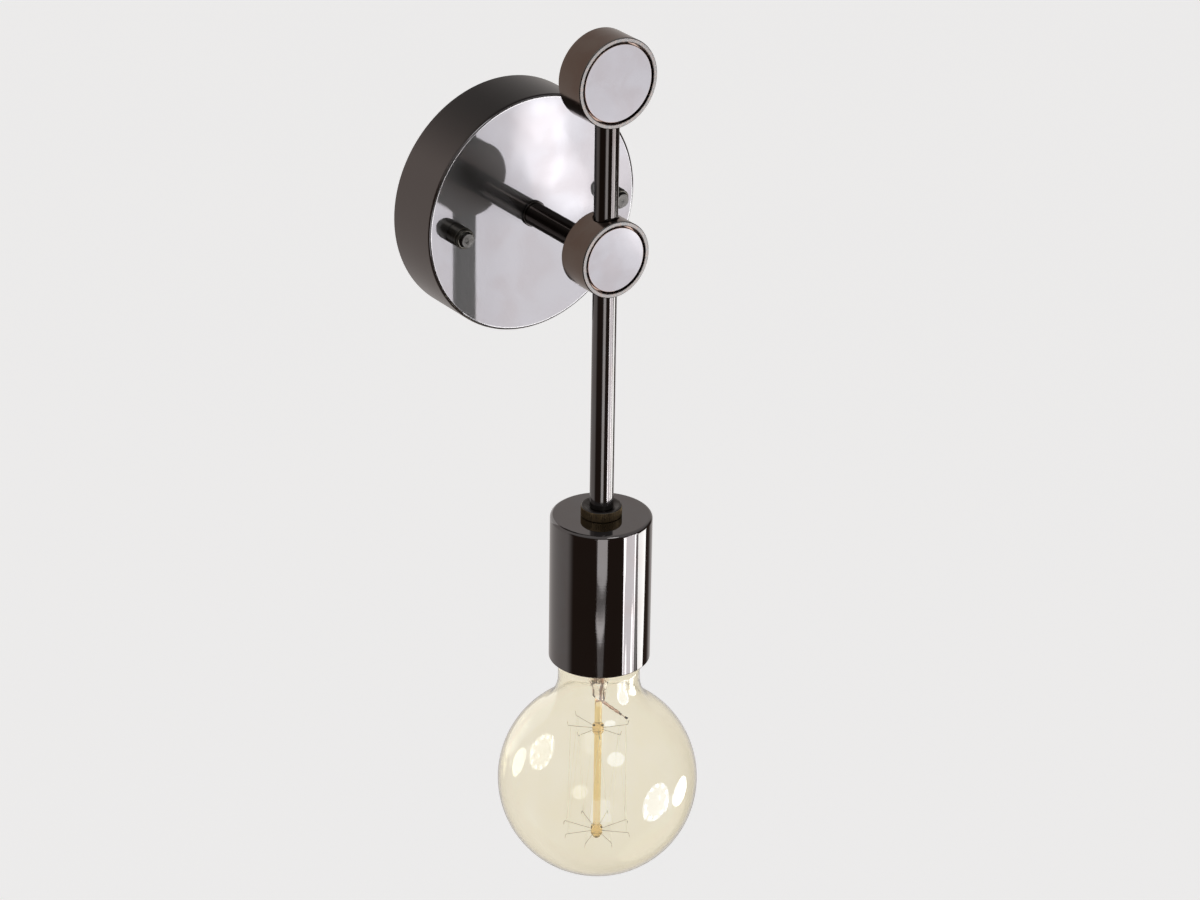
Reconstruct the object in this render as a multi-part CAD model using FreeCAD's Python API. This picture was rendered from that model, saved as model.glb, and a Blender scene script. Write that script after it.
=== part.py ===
import FreeCAD, Part
import math
import os

# Cylinder wall sconce in millimetres: +Z up, wall plane at Y = 0, sconce standing out along -Y.
# The origin is the point of the wall plane on the side arm's axis.

V = FreeCAD.Vector
UP = V(0, 0, 1)
ORIGIN = V(0, 0, 0)

# Wall canopy and its fixing
canopy_diameter = 114.3
canopy_depth = 29.0
canopy_wall = 1.2
canopy_edge = 1.3
canopy_inner_edge = 0.65
stud_hole_play = 0.4
hole_play = 0.1
stud_spacing = 86.0
stud_radius = 3.5
stud_nose = 1.8
stud_bevel = 0.5
centre_mark_radius = 0.6
centre_mark_depth = 0.4
round_nut_radius = 4.9
round_nut_length = 9.0
round_nut_bevel = 0.5
round_nut_break = 0.3
nut_ring_radius = 4.6
nut_ring_length = 1.5
nut_groove_radius = 4.3
nut_groove_width = 0.5
jam_nut_flats = 10.5
jam_nut_height = 4.0
plate_thickness = 2.0
plate_half_length = 52.0
plate_half_width = 10.0
plate_disc_radius = 30.0
plate_wire_hole = 9.0
slot_spacing = 69.85
slot_length = 6.5
slot_width = 4.8
ground_screw_height = 20.0
ground_screw_radius = 2.0
ground_head_radius = 4.0
ground_head_height = 2.6

# Screws and nuts: shares of the head's or nut's own size
nut_chamfer = 0.6
head_crown = 0.45
head_slot_half = 0.14
head_slot_depth = 0.5
small_head_radius = 2.9
small_head_height = 2.0
grub_slot_width = 0.5
grub_slot_depth = 0.8

# Tubes: one rod stock with threaded spigots at its ends
rod_radius = 5.55
rod_bore = 3.5
spigot_radius = 5.0
thread_play = 0.04
arm_reach = 86.0
collar_radius = 6.2
collar_length = 1.3
collar_edge = 0.35
nut_flats = 14.0
locknut_height = 4.0
lock_washer_radius = 8.8
lock_washer_height = 0.8
lock_washer_gaps = 12
lock_washer_gap_radius = 0.9
arm_tail = 8.5

# Drums: hub at the crossing, larger drum at the top
hub_radius = 18.2
hub_depth = 16.8
top_radius = 21.0
top_depth = 16.4
top_height = 84.0
drum_back_wall = 3.6
drum_wall = 5.0
drum_bevel = 0.35
drum_bevel_break = 0.1
drum_back_edge = 0.5
rim_width = 2.1
groove_width = 0.8
cover_seat = 2.4
cover_recess = 0.25
cover_edge = 0.3
cover_skirt = 2.4
cover_skirt_wall = 1.8
spot_face_radius = 6.1
spot_face_depth = 1.4
socket_overrun = 1.0

# Socket cup hung from the lower rod
cup_radius = 23.8
cup_top = -130.7
cup_bottom = -204.6
cup_wall = 1.0
cup_roof = 1.2
cup_edge = 1.6
cup_mouth_edge = 0.6
knurl_radius = 9.6
knurl_depth = 0.32
knurl_teeth = 66
knurled_nut_height = 4.9
knurled_nut_bevel = 0.5
knurled_nut_dish = 0.7
knurled_nut_land = 0.9
rod_seat = 1.0
rod_seat_play = 0.35

# Lampholder inside the cup
bracket_thickness = 1.5
bracket_width = 12.0
bracket_half_span = 16.0
bracket_foot = 8.5
bracket_bend = 2.4
bracket_screw_offset = 10.6
bracket_screw_radius = 1.6
bracket_screw_length = 8.0
bracket_hole_radius = 1.75
rod_tail = 1.5
thin_locknut_height = 3.5
holder_top = -158.0
holder_mouth = -203.7
holder_skirt_radius = 19.5
holder_neck_radius = 17.5
holder_step = -172.0
holder_step_rise = 2.0
holder_edge = 1.0
holder_floor = -176.7
shell_inner_radius = 13.45
shell_wall = 0.5
shell_bend = 0.4
shell_flange_radius = 12.0
shell_mouth = -202.7
pocket_inner = 6.7
pocket_outer = 14.3
pocket_half_width = 4.6
pocket_depth = 9.0
clamp_play = 0.2
clamp_height = 8.0
clamp_wire_at = 10.5
clamp_stem_radius = 1.3
clamp_wire_depth = 5.0
wire_hole_play = 0.15
live_stem_at = 8.2
neutral_stem_at = 12.6
terminal_screw_radius = 1.7
terminal_screw_length = 4.0
driver_hole_radius = 2.2
driver_hole_length = 8.0
tongue_width = 5.0
tongue_thickness = 0.5
tongue_drop = 1.0
tongue_tail = 2.0
tongue_bend_from = 5.0
tongue_bend_to = 1.8
tongue_reach = 3.0
tongue_bend = 2.0

# Wires: terminal block in the canopy to the lampholder
wire_radius = 1.0
wire_offset = 1.6
wire_behind_axis = 1.0
block_half_width = 10.0
block_top = -13.0
block_height = 14.0
block_depth = 11.0
block_pole = 4.0
block_wire_y = -8.5
block_hole_radius = 1.7
block_hole_depth = 5.0
block_corner = 1.5
block_fixing_radius = 1.5
block_well_radius = 3.2
block_well_depth = 5.0
clamp_screw_radius = 1.6
clamp_screw_length = 2.6
clamp_screw_inset = 3.0
clamp_screw_sink = 3.0
clamp_screw_hole = 5.0
wire_lift = 0.5
wire_drop = 4.0
wire_run_in = 8.0
wire_bends = (16.0, 7.0, 9.0, 16.0, 14.0)

# Globe lamp, drawn downwards from the rim of its screw cap
cap_rim = -204.5
cap_radius = 12.95
cap_wall = 0.35
cap_lip_radius = 13.3
cap_length = 26.0
cap_lip_height = 1.2
cap_lip_slope = 0.6
cap_shoulder = 18.5
cap_shoulder_bend = 2.0
cap_seat = 0.4
insulator_base = 22.0
insulator_top = 24.6
insulator_neck = 8.6
insulator_face = 5.3
insulator_edge = 0.6
insulator_depth = 2.5
contact_radius = 4.8
contact_edge = 0.8
globe_radius = 47.5
globe_centre = -66.6
globe_neck_radius = 19.3
globe_flare = 20.0
globe_seal_radius = 12.4
globe_seal_height = 6.0
seal_bend_level = -0.8
seal_bend = 1.4
shoulder_level = -4.6
shoulder_bend = 3.6
glass_wall = 0.8
stem_press_top = -13.0
stem_press = -19.0
stem_press_end = -23.0
stem_flare_wall = 1.2
stem_flare_radius = 6.0
stem_flare_level = -3.0
stem_neck_radius = 4.6
stem_neck_wall = 1.0
press_half_width = 5.2
press_half_thickness = 1.9
press_end_half_width = 4.6
press_end_half_thickness = 1.85
press_lap = 0.5
stem_rod_radius = 1.8
stem_foot = 1.2
stem_foot_edge = 0.8
bead_radius = 2.8
bead_half_height = 2.2
bead_collar = 0.4
bead_collar_bend = 0.3
bead_round = 1.1
upper_bead = 26.5
lower_bead = -29.6
upper_hook_reach = 13.0
lower_hook_reach = 15.2
hook_count = 8
first_hook_angle = -32.0
hook_wire_radius = 0.12
hook_rise = 1.6
hook_overrun = 1.2
hook_lean = 0.4
hook_tip = 2.2
hook_bend = 0.7
filament_radius = 0.05
filament_wrap = 0.23
lead_radius = 0.7
lead_tail_radius = 0.18
lead_clamp_radius = 0.55
lead_clamp_length = 1.4
lead_stout_share = 0.68
lead_offset = 2.5
lead_reach = 15.5
lead_angles = (-8.0, 9.0)
lead_bend_drop = 0.8
lead_bend = 4.0
lead_in_cap = 4.0

# Levels that follow from the sizes above
hub_seat = hub_radius - spot_face_depth
top_seat = top_radius - spot_face_depth
nut_top = cup_top + knurled_nut_height
rod_shoulder = nut_top - rod_seat
bracket_top = cup_top - cup_roof
locknut_top = bracket_top - bracket_thickness
lower_rod_end = locknut_top - thin_locknut_height - rod_tail
hook_step = 360.0 / hook_count
lead_gap_middle = sum(lead_angles) / 2
settling_rounds = 60


def rounded_edges(points, radii, closed=False):
    """Straight runs through the points, joined by tangent arcs of the given radii (0 for a sharp corner)."""
    count = len(points)
    arrive = list(points)
    leave = list(points)
    middle = [None] * count
    for i, radius in enumerate(radii):
        if radius == 0:
            continue
        corner = points[i]
        back = V(points[i - 1] - corner).normalize()
        ahead = V(points[(i + 1) % count] - corner).normalize()
        half = back.getAngle(ahead) / 2
        bisector = V(back + ahead).normalize()
        arrive[i] = corner + back * (radius / math.tan(half))
        leave[i] = corner + ahead * (radius / math.tan(half))
        middle[i] = corner + bisector * (radius / math.sin(half) - radius)
    edges = []
    for i in range(count):
        if middle[i] is not None:
            edges.append(Part.Arc(arrive[i], middle[i], leave[i]).toShape())
        last = i == count - 1
        if last and not closed:
            break
        edges.append(Part.LineSegment(leave[i], arrive[(i + 1) % count]).toShape())
    return edges


def half_profile(outline):
    """Face in the XZ plane from (radius, height) points, each with an optional corner radius."""
    points = [V(item[0], 0, item[1]) for item in outline]
    radii = [item[2] if len(item) > 2 else 0 for item in outline]
    return Part.Face(Part.Wire(rounded_edges(points, radii, closed=True)))


def turned(outline):
    """Solid turned about Z from a half profile."""
    return half_profile(outline).revolve(ORIGIN, UP, 360)


def tube(outer, inner, low, high):
    """Plain sleeve about Z."""
    return turned([(inner, low), (outer, low), (outer, high), (inner, high)])


def rod(radius, low, high, x=0, y=0):
    """Plain cylinder along Z at the given place."""
    return Part.makeCylinder(radius, high - low, V(x, y, low))


def facing_front(shape, x=0, y=0, z=0):
    """Turn a shape drawn along +Z so that it points out of the wall, with its base at the given place."""
    placed = shape.copy()
    placed.rotate(ORIGIN, V(1, 0, 0), 90)
    placed.translate(V(x, y, z))
    return placed


def at_rod(shape, z=0):
    """Move a shape drawn about Z onto the vertical rods' axis."""
    placed = shape.copy()
    placed.translate(V(0, -arm_reach, z))
    return placed


def swept(points, radii, section_radius):
    """Round wire along straight runs and tangent arcs."""
    path = Part.Wire(rounded_edges(points, radii))
    section = Part.Wire(Part.makeCircle(section_radius, points[0], points[1] - points[0]))
    return path.makePipeShell([section], True, False)


def hex_nut(flats, height, bore):
    """Hexagon nut along +Z with its corners turned off at both faces."""
    corner = flats / math.sqrt(3)
    hexagon = Part.makePolygon([
        V(corner * math.cos(math.radians(60 * i)), corner * math.sin(math.radians(60 * i)), 0)
        for i in range(7)
    ])
    blank = Part.Face(hexagon).extrude(V(0, 0, height))
    cut = (corner - flats / 2) * nut_chamfer
    envelope = turned([
        (bore, 0), (flats / 2, 0), (corner, cut), (corner, height - cut),
        (flats / 2, height), (bore, height),
    ])
    return blank.common(envelope)


def pan_screw(head_radius, head_height, shank_radius, shank_length):
    """Slotted pan-head screw along +Z: the head above Z = 0, the shank below."""
    body = turned([
        (0, -shank_length), (shank_radius, -shank_length), (shank_radius, 0), (head_radius, 0),
        (head_radius, head_height, head_height * head_crown), (0, head_height),
    ])
    slot_half = head_radius * head_slot_half
    corner = V(-head_radius, -slot_half, head_height * head_slot_depth)
    slot = Part.makeBox(2 * head_radius, 2 * slot_half, head_height, corner)
    return body.cut(slot)


# Wall side

def canopy():
    radius = canopy_diameter / 2
    inner = radius - canopy_wall
    pan = turned([
        (inner, 0), (radius, 0), (radius, canopy_depth, canopy_edge), (0, canopy_depth),
        (0, canopy_depth - canopy_wall), (inner, canopy_depth - canopy_wall, canopy_inner_edge),
    ])
    holes = [rod(spigot_radius + hole_play, 0, canopy_depth)]
    for side in (-1, 1):
        holes.append(rod(stud_radius + stud_hole_play, 0, canopy_depth, side * stud_spacing / 2))
    return facing_front(pan.cut(holes))


def mounting_plate():
    neck = math.sqrt(plate_disc_radius**2 - plate_half_width**2)
    straight = plate_half_length - plate_half_width
    edges = []
    for side in (1, -1):
        start = V(side * neck, side * plate_half_width, 0)
        end_top = V(side * straight, side * plate_half_width, 0)
        end_low = V(side * straight, -side * plate_half_width, 0)
        back = V(side * neck, -side * plate_half_width, 0)
        edges.append(Part.LineSegment(start, end_top).toShape())
        edges.append(Part.Arc(end_top, V(side * plate_half_length, 0, 0), end_low).toShape())
        edges.append(Part.LineSegment(end_low, back).toShape())
        over = V(-side * neck, -side * plate_half_width, 0)
        edges.append(Part.Arc(back, V(0, -side * plate_disc_radius, 0), over).toShape())
    plate = Part.Face(Part.Wire(edges)).extrude(V(0, 0, plate_thickness))
    holes = [
        rod(plate_wire_hole, 0, plate_thickness),
        rod(ground_screw_radius + thread_play, 0, plate_thickness, 0, ground_screw_height),
        rod(block_fixing_radius + thread_play, 0, plate_thickness, 0, block_top - block_height / 2),
    ]
    for side in (-1, 1):
        holes.append(rod(stud_radius + thread_play, 0, plate_thickness, side * stud_spacing / 2))
        half = slot_length / 2 - slot_width / 2
        for end in (-half, half):
            holes.append(rod(slot_width / 2, 0, plate_thickness, side * slot_spacing / 2 + end))
        corner = V(side * slot_spacing / 2 - half, -slot_width / 2, 0)
        holes.append(Part.makeBox(2 * half, slot_width, plate_thickness, corner))
    return facing_front(plate.cut(holes).removeSplitter())


def mounting_studs():
    tip = canopy_depth + round_nut_length + stud_nose
    stud = turned([
        (0, 0), (stud_radius, 0), (stud_radius, tip - stud_bevel), (stud_radius - stud_bevel, tip),
        (centre_mark_radius, tip), (0, tip - centre_mark_depth),
    ])
    return [facing_front(stud, side * stud_spacing / 2) for side in (-1, 1)]


def stud_jam_nuts():
    nut = hex_nut(jam_nut_flats, jam_nut_height, stud_radius + thread_play)
    nut.rotate(ORIGIN, UP, 30)
    return [facing_front(nut, side * stud_spacing / 2, -plate_thickness) for side in (-1, 1)]


def round_nuts():
    bore = stud_radius + thread_play
    ring = round_nut_length - nut_ring_length
    groove = ring - nut_groove_width
    nut = turned([
        (bore, 0), (round_nut_radius, 0, round_nut_break), (round_nut_radius, groove, round_nut_break),
        (nut_groove_radius, groove), (nut_groove_radius, ring), (nut_ring_radius, ring),
        (nut_ring_radius, round_nut_length, round_nut_bevel), (bore + round_nut_break, round_nut_length),
        (bore, round_nut_length - round_nut_break),
    ])
    return [facing_front(nut, side * stud_spacing / 2, -canopy_depth) for side in (-1, 1)]


def ground_screw():
    screw = pan_screw(ground_head_radius, ground_head_height, ground_screw_radius, plate_thickness)
    return facing_front(screw, 0, -plate_thickness, ground_screw_height)


def terminal_block():
    bottom = block_top - block_height
    front = -plate_thickness - block_depth
    outline = rounded_edges(
        [V(x, front + dy, bottom) for x, dy in (
            (-block_half_width, 0), (block_half_width, 0),
            (block_half_width, block_depth), (-block_half_width, block_depth),
        )],
        [block_corner, block_corner, 0, 0], closed=True,
    )
    block = Part.Face(Part.Wire(outline)).extrude(V(0, 0, block_height))
    fixing = V(0, front, bottom + block_height / 2)
    holes = [
        Part.makeCylinder(block_fixing_radius + thread_play, block_depth, fixing, V(0, 1, 0)),
        Part.makeCylinder(block_well_radius, block_well_depth, fixing, V(0, 1, 0)),
    ]
    for pole in (-block_pole, block_pole):
        for low in (bottom, block_top - block_hole_depth):
            holes.append(rod(block_hole_radius, low, low + block_hole_depth, pole, block_wire_y))
        for height in (bottom + clamp_screw_inset, block_top - clamp_screw_inset):
            place = V(pole, front, height)
            bore = clamp_screw_radius + thread_play
            holes.append(Part.makeCylinder(bore, clamp_screw_hole, place, V(0, 1, 0)))
    return block.cut(holes)


def block_screws():
    front = -plate_thickness - block_depth
    bottom = block_top - block_height
    clamp = rod(clamp_screw_radius, 0, clamp_screw_length)
    slot_corner = V(-clamp_screw_radius, -grub_slot_width / 2, clamp_screw_length - grub_slot_depth)
    clamp = clamp.cut(Part.makeBox(2 * clamp_screw_radius, grub_slot_width, grub_slot_depth, slot_corner))
    screws = [
        facing_front(clamp, pole, front + clamp_screw_sink, height)
        for pole in (-block_pole, block_pole)
        for height in (bottom + clamp_screw_inset, block_top - clamp_screw_inset)
    ]
    shank = block_depth - block_well_depth + plate_thickness
    fixing = pan_screw(small_head_radius, small_head_height, block_fixing_radius, shank)
    screws.append(facing_front(fixing, 0, front + block_well_depth, bottom + block_height / 2))
    return screws


# Arm, drums and rods

def arm_collar():
    ring = turned([
        (spigot_radius + thread_play, 0), (collar_radius, 0, collar_edge),
        (collar_radius, collar_length, collar_edge), (spigot_radius + thread_play, collar_length),
    ])
    return facing_front(ring, 0, -canopy_depth)


def arm_tube():
    tail = canopy_depth - canopy_wall - arm_tail
    shoulder = canopy_depth + collar_length
    hub_back = arm_reach - hub_depth / 2
    arm = turned([
        (rod_bore, tail), (spigot_radius, tail), (spigot_radius, shoulder), (rod_radius, shoulder),
        (rod_radius, hub_back), (spigot_radius, hub_back), (spigot_radius, hub_back + drum_back_wall),
        (rod_bore, hub_back + drum_back_wall),
    ])
    return facing_front(arm)


def arm_lock_washer():
    ring = tube(lock_washer_radius, spigot_radius + hole_play, 0, lock_washer_height)
    gaps = []
    for i in range(lock_washer_gaps):
        angle = 2 * math.pi * i / lock_washer_gaps
        place = (lock_washer_radius * math.cos(angle), lock_washer_radius * math.sin(angle))
        gaps.append(rod(lock_washer_gap_radius, 0, lock_washer_height, *place))
    return facing_front(ring.cut(gaps), 0, -canopy_depth + canopy_wall + lock_washer_height)


def arm_locknut():
    nut = hex_nut(nut_flats, locknut_height, spigot_radius + thread_play)
    return facing_front(nut, 0, -canopy_depth + canopy_wall + lock_washer_height + locknut_height)


def drum_body(radius, depth):
    """Drum along +Z from its closed back: bevelled front rim, a seat for the cover, an open chamber."""
    seat = radius - rim_width
    chamber = radius - drum_wall
    return turned([
        (0, 0), (radius, 0, drum_back_edge), (radius, depth - drum_bevel, drum_bevel_break),
        (radius - drum_bevel, depth, drum_bevel_break),
        (seat, depth), (seat, depth - cover_seat), (chamber, depth - cover_seat),
        (chamber, drum_back_wall), (0, drum_back_wall),
    ])


def drum_cover(radius, depth):
    """Flat disc in the drum's seat, with a short threaded skirt inside the chamber."""
    disc = radius - rim_width - groove_width
    skirt = radius - drum_wall - thread_play
    face = depth - cover_recess
    seat = depth - cover_seat
    return turned([
        (0, face), (disc, face, cover_edge), (disc, seat), (skirt, seat), (skirt, seat - cover_skirt),
        (skirt - cover_skirt_wall, seat - cover_skirt), (skirt - cover_skirt_wall, seat), (0, seat),
    ])


def place_drum(shape, depth, height):
    """Turn a drum to the front, centred on the rods' axis at this height."""
    return facing_front(shape, 0, -arm_reach + depth / 2, height)


def rod_socket(radius, height, side):
    """Threaded hole and spot face for a rod on the upper (side 1) or lower (side -1) flank of a drum."""
    seat = radius - spot_face_depth
    hole = rod(spigot_radius + thread_play, radius - drum_wall - socket_overrun, radius)
    face = rod(spot_face_radius, seat, radius + socket_overrun)
    cutter = hole.fuse(face)
    if side < 0:
        cutter.rotate(ORIGIN, V(1, 0, 0), 180)
    return at_rod(cutter, height)


def hub_body():
    body = place_drum(drum_body(hub_radius, hub_depth), hub_depth, 0)
    arm_hole = rod(spigot_radius + thread_play, 0, drum_back_wall)
    arm_hole = place_drum(arm_hole, hub_depth, 0)
    return body.cut([arm_hole, rod_socket(hub_radius, 0, 1), rod_socket(hub_radius, 0, -1)])


def top_body():
    body = place_drum(drum_body(top_radius, top_depth), top_depth, top_height)
    return body.cut(rod_socket(top_radius, top_height, -1))


def upper_rod():
    low = hub_seat
    high = top_height - top_seat
    thread = hub_seat - (hub_radius - drum_wall)
    return at_rod(turned([
        (rod_bore, low - thread), (spigot_radius, low - thread), (spigot_radius, low), (rod_radius, low),
        (rod_radius, high), (spigot_radius, high), (spigot_radius, high + thread), (rod_bore, high + thread),
    ]))


def lower_rod():
    high = -hub_seat
    thread = hub_seat - (hub_radius - drum_wall)
    return at_rod(turned([
        (rod_bore, lower_rod_end), (spigot_radius, lower_rod_end), (spigot_radius, rod_shoulder),
        (rod_radius, rod_shoulder), (rod_radius, high), (spigot_radius, high),
        (spigot_radius, high + thread), (rod_bore, high + thread),
    ]))


# Socket cup and lampholder

def knurled_nut():
    teeth = []
    for i in range(2 * knurl_teeth):
        reach = knurl_radius - (knurl_depth if i % 2 else 0)
        angle = math.pi * i / knurl_teeth
        teeth.append(V(reach * math.cos(angle), reach * math.sin(angle), 0))
    blank = Part.Face(Part.makePolygon(teeth + teeth[:1])).extrude(V(0, 0, knurled_nut_height))
    bevelled = knurl_radius - knurled_nut_bevel
    dish = bevelled - knurled_nut_land
    seat = rod_radius + rod_seat_play
    envelope = turned([
        (spigot_radius + thread_play, 0), (bevelled, 0), (knurl_radius, knurled_nut_bevel),
        (knurl_radius, knurled_nut_height - knurled_nut_bevel), (bevelled, knurled_nut_height),
        (dish, knurled_nut_height), (seat, knurled_nut_height - knurled_nut_dish),
        (seat, knurled_nut_height - rod_seat), (spigot_radius + thread_play, knurled_nut_height - rod_seat),
    ])
    return at_rod(blank.common(envelope), cup_top)


def socket_cup():
    inner = cup_radius - cup_wall
    hole = spigot_radius + hole_play
    return at_rod(turned([
        (inner, cup_bottom), (cup_radius, cup_bottom, cup_mouth_edge), (cup_radius, cup_top, cup_edge),
        (hole, cup_top), (hole, cup_top - cup_roof), (inner, cup_top - cup_roof, cup_edge - cup_wall),
    ]))


def holder_bracket():
    high = bracket_top - bracket_thickness / 2
    low = holder_top + bracket_thickness / 2
    foot = bracket_half_span - bracket_foot
    corners = [(foot, low), (bracket_half_span, low), (bracket_half_span, high)]
    corners += [(-y, z) for y, z in reversed(corners)]
    points = [V(0, y, z) for y, z in corners]
    path = Part.Wire(rounded_edges(points, [0] + [bracket_bend] * 4 + [0]))
    half_width = bracket_width / 2
    half_thick = bracket_thickness / 2
    section = Part.makePolygon([
        V(x, foot, low + z) for x, z in (
            (-half_width, -half_thick), (half_width, -half_thick), (half_width, half_thick),
            (-half_width, half_thick), (-half_width, -half_thick),
        )
    ])
    strap = path.makePipeShell([section], True, False)
    holes = [rod(spigot_radius + thread_play, high - bracket_thickness, high + bracket_thickness)]
    for side in (-1, 1):
        place = (0, side * bracket_screw_offset)
        holes.append(rod(bracket_hole_radius, low - bracket_thickness, low + bracket_thickness, *place))
    return at_rod(strap.cut(holes))


def bracket_locknut():
    nut = hex_nut(nut_flats, thin_locknut_height, spigot_radius + thread_play)
    return at_rod(nut, locknut_top - thin_locknut_height)


def bracket_screws():
    screws = []
    for side in (-1, 1):
        screw = pan_screw(small_head_radius, small_head_height, bracket_screw_radius, bracket_screw_length)
        screw.translate(V(0, side * bracket_screw_offset, holder_top + bracket_thickness))
        screws.append(at_rod(screw))
    return screws


def terminal_pocket(side, play=0.0, depth=pocket_depth):
    """Rectangular well in the lampholder's top, or the block that fits it with play all round."""
    inner = pocket_inner + play
    length = pocket_outer - play - inner
    width = 2 * (pocket_half_width - play)
    low = holder_top - pocket_depth
    x = inner if side > 0 else -inner - length
    return Part.makeBox(length, width, depth, V(x, -width / 2, low))


def terminal_stem(side):
    """Distance of a clamp's stem from the axis: the live one feeds the tongue, the neutral one the shell."""
    return live_stem_at if side < 0 else neutral_stem_at


def holder_body():
    bore = shell_inner_radius + shell_wall + thread_play
    body = turned([
        (bore, holder_mouth), (holder_skirt_radius, holder_mouth, holder_edge),
        (holder_skirt_radius, holder_step, holder_edge),
        (holder_neck_radius, holder_step + holder_step_rise, holder_edge),
        (holder_neck_radius, holder_top, holder_edge), (0, holder_top),
        (0, holder_floor), (bore, holder_floor),
    ])
    cuts = []
    screw_height = holder_top - pocket_depth + clamp_height / 2
    for side in (-1, 1):
        cuts.append(terminal_pocket(side))
        stem_x = side * terminal_stem(side)
        cuts.append(rod(clamp_stem_radius + hole_play, holder_floor, holder_top - pocket_depth, stem_x))
        start = V(side * (pocket_outer - clamp_play), 0, screw_height)
        cuts.append(Part.makeCylinder(driver_hole_radius, driver_hole_length, start, V(side, 0, 0)))
        thread = bracket_screw_radius + thread_play
        cuts.append(rod(thread, holder_top - pocket_depth, holder_top, 0, side * bracket_screw_offset))
    return at_rod(body.cut(cuts))


def terminal_clamps():
    clamps = []
    for side in (-1, 1):
        block = terminal_pocket(side, clamp_play, clamp_height)
        top = holder_top - pocket_depth + clamp_height
        stem = rod(clamp_stem_radius, holder_floor, holder_top - pocket_depth, side * terminal_stem(side))
        wire_hole = rod(wire_radius + wire_hole_play, top - clamp_wire_depth, top, side * clamp_wire_at)
        screw_hole = Part.makeCylinder(
            terminal_screw_radius + thread_play, terminal_screw_length,
            V(side * (clamp_wire_at + wire_radius), 0, top - clamp_height / 2), V(side, 0, 0),
        )
        clamps.append(at_rod(block.fuse(stem).cut([wire_hole, screw_hole]).removeSplitter()))
    return clamps


def terminal_screws():
    screws = []
    height = holder_top - pocket_depth + clamp_height / 2
    for side in (-1, 1):
        start = side * (clamp_wire_at + wire_radius + wire_hole_play)
        place = V(start, 0, height)
        screw = Part.makeCylinder(terminal_screw_radius, terminal_screw_length, place, V(side, 0, 0))
        end = start + side * terminal_screw_length
        slot_x = min(end, end - side * grub_slot_depth)
        slot_corner = V(slot_x, -terminal_screw_radius, height - grub_slot_width / 2)
        slot = Part.makeBox(grub_slot_depth, 2 * terminal_screw_radius, grub_slot_width, slot_corner)
        screws.append(at_rod(screw.cut(slot)))
    return screws


def screw_shell():
    outer = shell_inner_radius + shell_wall
    return at_rod(turned([
        (shell_inner_radius, shell_mouth), (outer, shell_mouth), (outer, holder_floor),
        (shell_flange_radius, holder_floor), (shell_flange_radius, holder_floor - shell_wall),
        (shell_inner_radius, holder_floor - shell_wall, shell_bend),
    ]))


def centre_contact():
    level = holder_floor - tongue_thickness / 2
    points = [
        V(-live_stem_at - tongue_tail, 0, level), V(-tongue_bend_from, 0, level),
        V(-tongue_bend_to, 0, level - tongue_drop), V(tongue_reach, 0, level - tongue_drop),
    ]
    path = Part.Wire(rounded_edges(points, [0, tongue_bend, tongue_bend, 0]))
    half = tongue_thickness / 2
    section = Part.makePolygon([
        V(points[0].x, y, level + z) for y, z in (
            (-tongue_width / 2, -half), (tongue_width / 2, -half), (tongue_width / 2, half),
            (-tongue_width / 2, half), (-tongue_width / 2, -half),
        )
    ])
    return at_rod(path.makePipeShell([section], True, False))


def supply_wire(side):
    """One insulated wire from the terminal block through arm, hub and lower rod to its clamp."""
    offset = side * wire_offset
    drop = -arm_reach - wire_behind_axis
    clamp_top = holder_top - pocket_depth + clamp_height
    points = [
        V(side * block_pole, block_wire_y, block_top - block_hole_depth),
        V(side * block_pole, block_wire_y, block_top + wire_lift),
        V(offset, block_wire_y, 0),
        V(offset, drop, 0),
        V(offset, drop, lower_rod_end - wire_drop),
        V(side * clamp_wire_at, -arm_reach, holder_top + wire_run_in),
        V(side * clamp_wire_at, -arm_reach, clamp_top - clamp_wire_depth),
    ]
    return swept(points, [0, *wire_bends, 0], wire_radius)


# Globe lamp, drawn about Z with its cap's rim at Z = 0

def in_lamp_place(shape):
    """Move a lamp piece from its own drawing to its place in the lampholder."""
    return at_rod(shape, cap_rim)


def globe_wall_edges(inset):
    """One wall of the globe from the seal edge in the cap to the lowest point, inset from the outer wall."""
    seal = globe_seal_radius - inset
    neck = globe_neck_radius - inset
    flare = globe_flare + inset
    sphere = globe_radius - inset
    reach = math.sqrt((globe_radius + globe_flare)**2 - (globe_neck_radius + globe_flare)**2)
    flare_level = globe_centre + reach
    flare_centre = V(globe_neck_radius + globe_flare, 0, flare_level)
    sphere_centre = V(0, 0, globe_centre)
    to_flare = V(flare_centre - sphere_centre).normalize()
    joint = sphere_centre + to_flare * sphere
    slope = math.pi + math.atan2(to_flare.z, to_flare.x) / 2
    flare_middle = flare_centre + V(math.cos(slope), 0, math.sin(slope)) * flare
    start = V(neck, 0, flare_level)
    shoulder = [
        V(seal, 0, globe_seal_height), V(seal, 0, seal_bend_level - inset),
        V(neck, 0, shoulder_level - inset), start,
    ]
    edges = rounded_edges(shoulder, [0, seal_bend + inset, shoulder_bend - inset, 0])
    edges.append(Part.Arc(start, flare_middle, joint).toShape())
    side = sphere_centre + V(sphere, 0, 0)
    edges.append(Part.Arc(joint, side, sphere_centre - UP * sphere).toShape())
    return edges


def bulb_glass():
    outer = globe_wall_edges(0)
    inner = globe_wall_edges(glass_wall)
    bottom = globe_centre - globe_radius
    rim = Part.LineSegment(
        V(globe_seal_radius, 0, globe_seal_height), V(globe_seal_radius - glass_wall, 0, globe_seal_height)
    ).toShape()
    pole = Part.LineSegment(V(0, 0, bottom), V(0, 0, bottom + glass_wall)).toShape()
    wire = Part.Wire(Part.__sortEdges__(outer + [pole] + inner + [rim]))
    return in_lamp_place(Part.Face(wire).revolve(ORIGIN, UP, 360))


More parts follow.
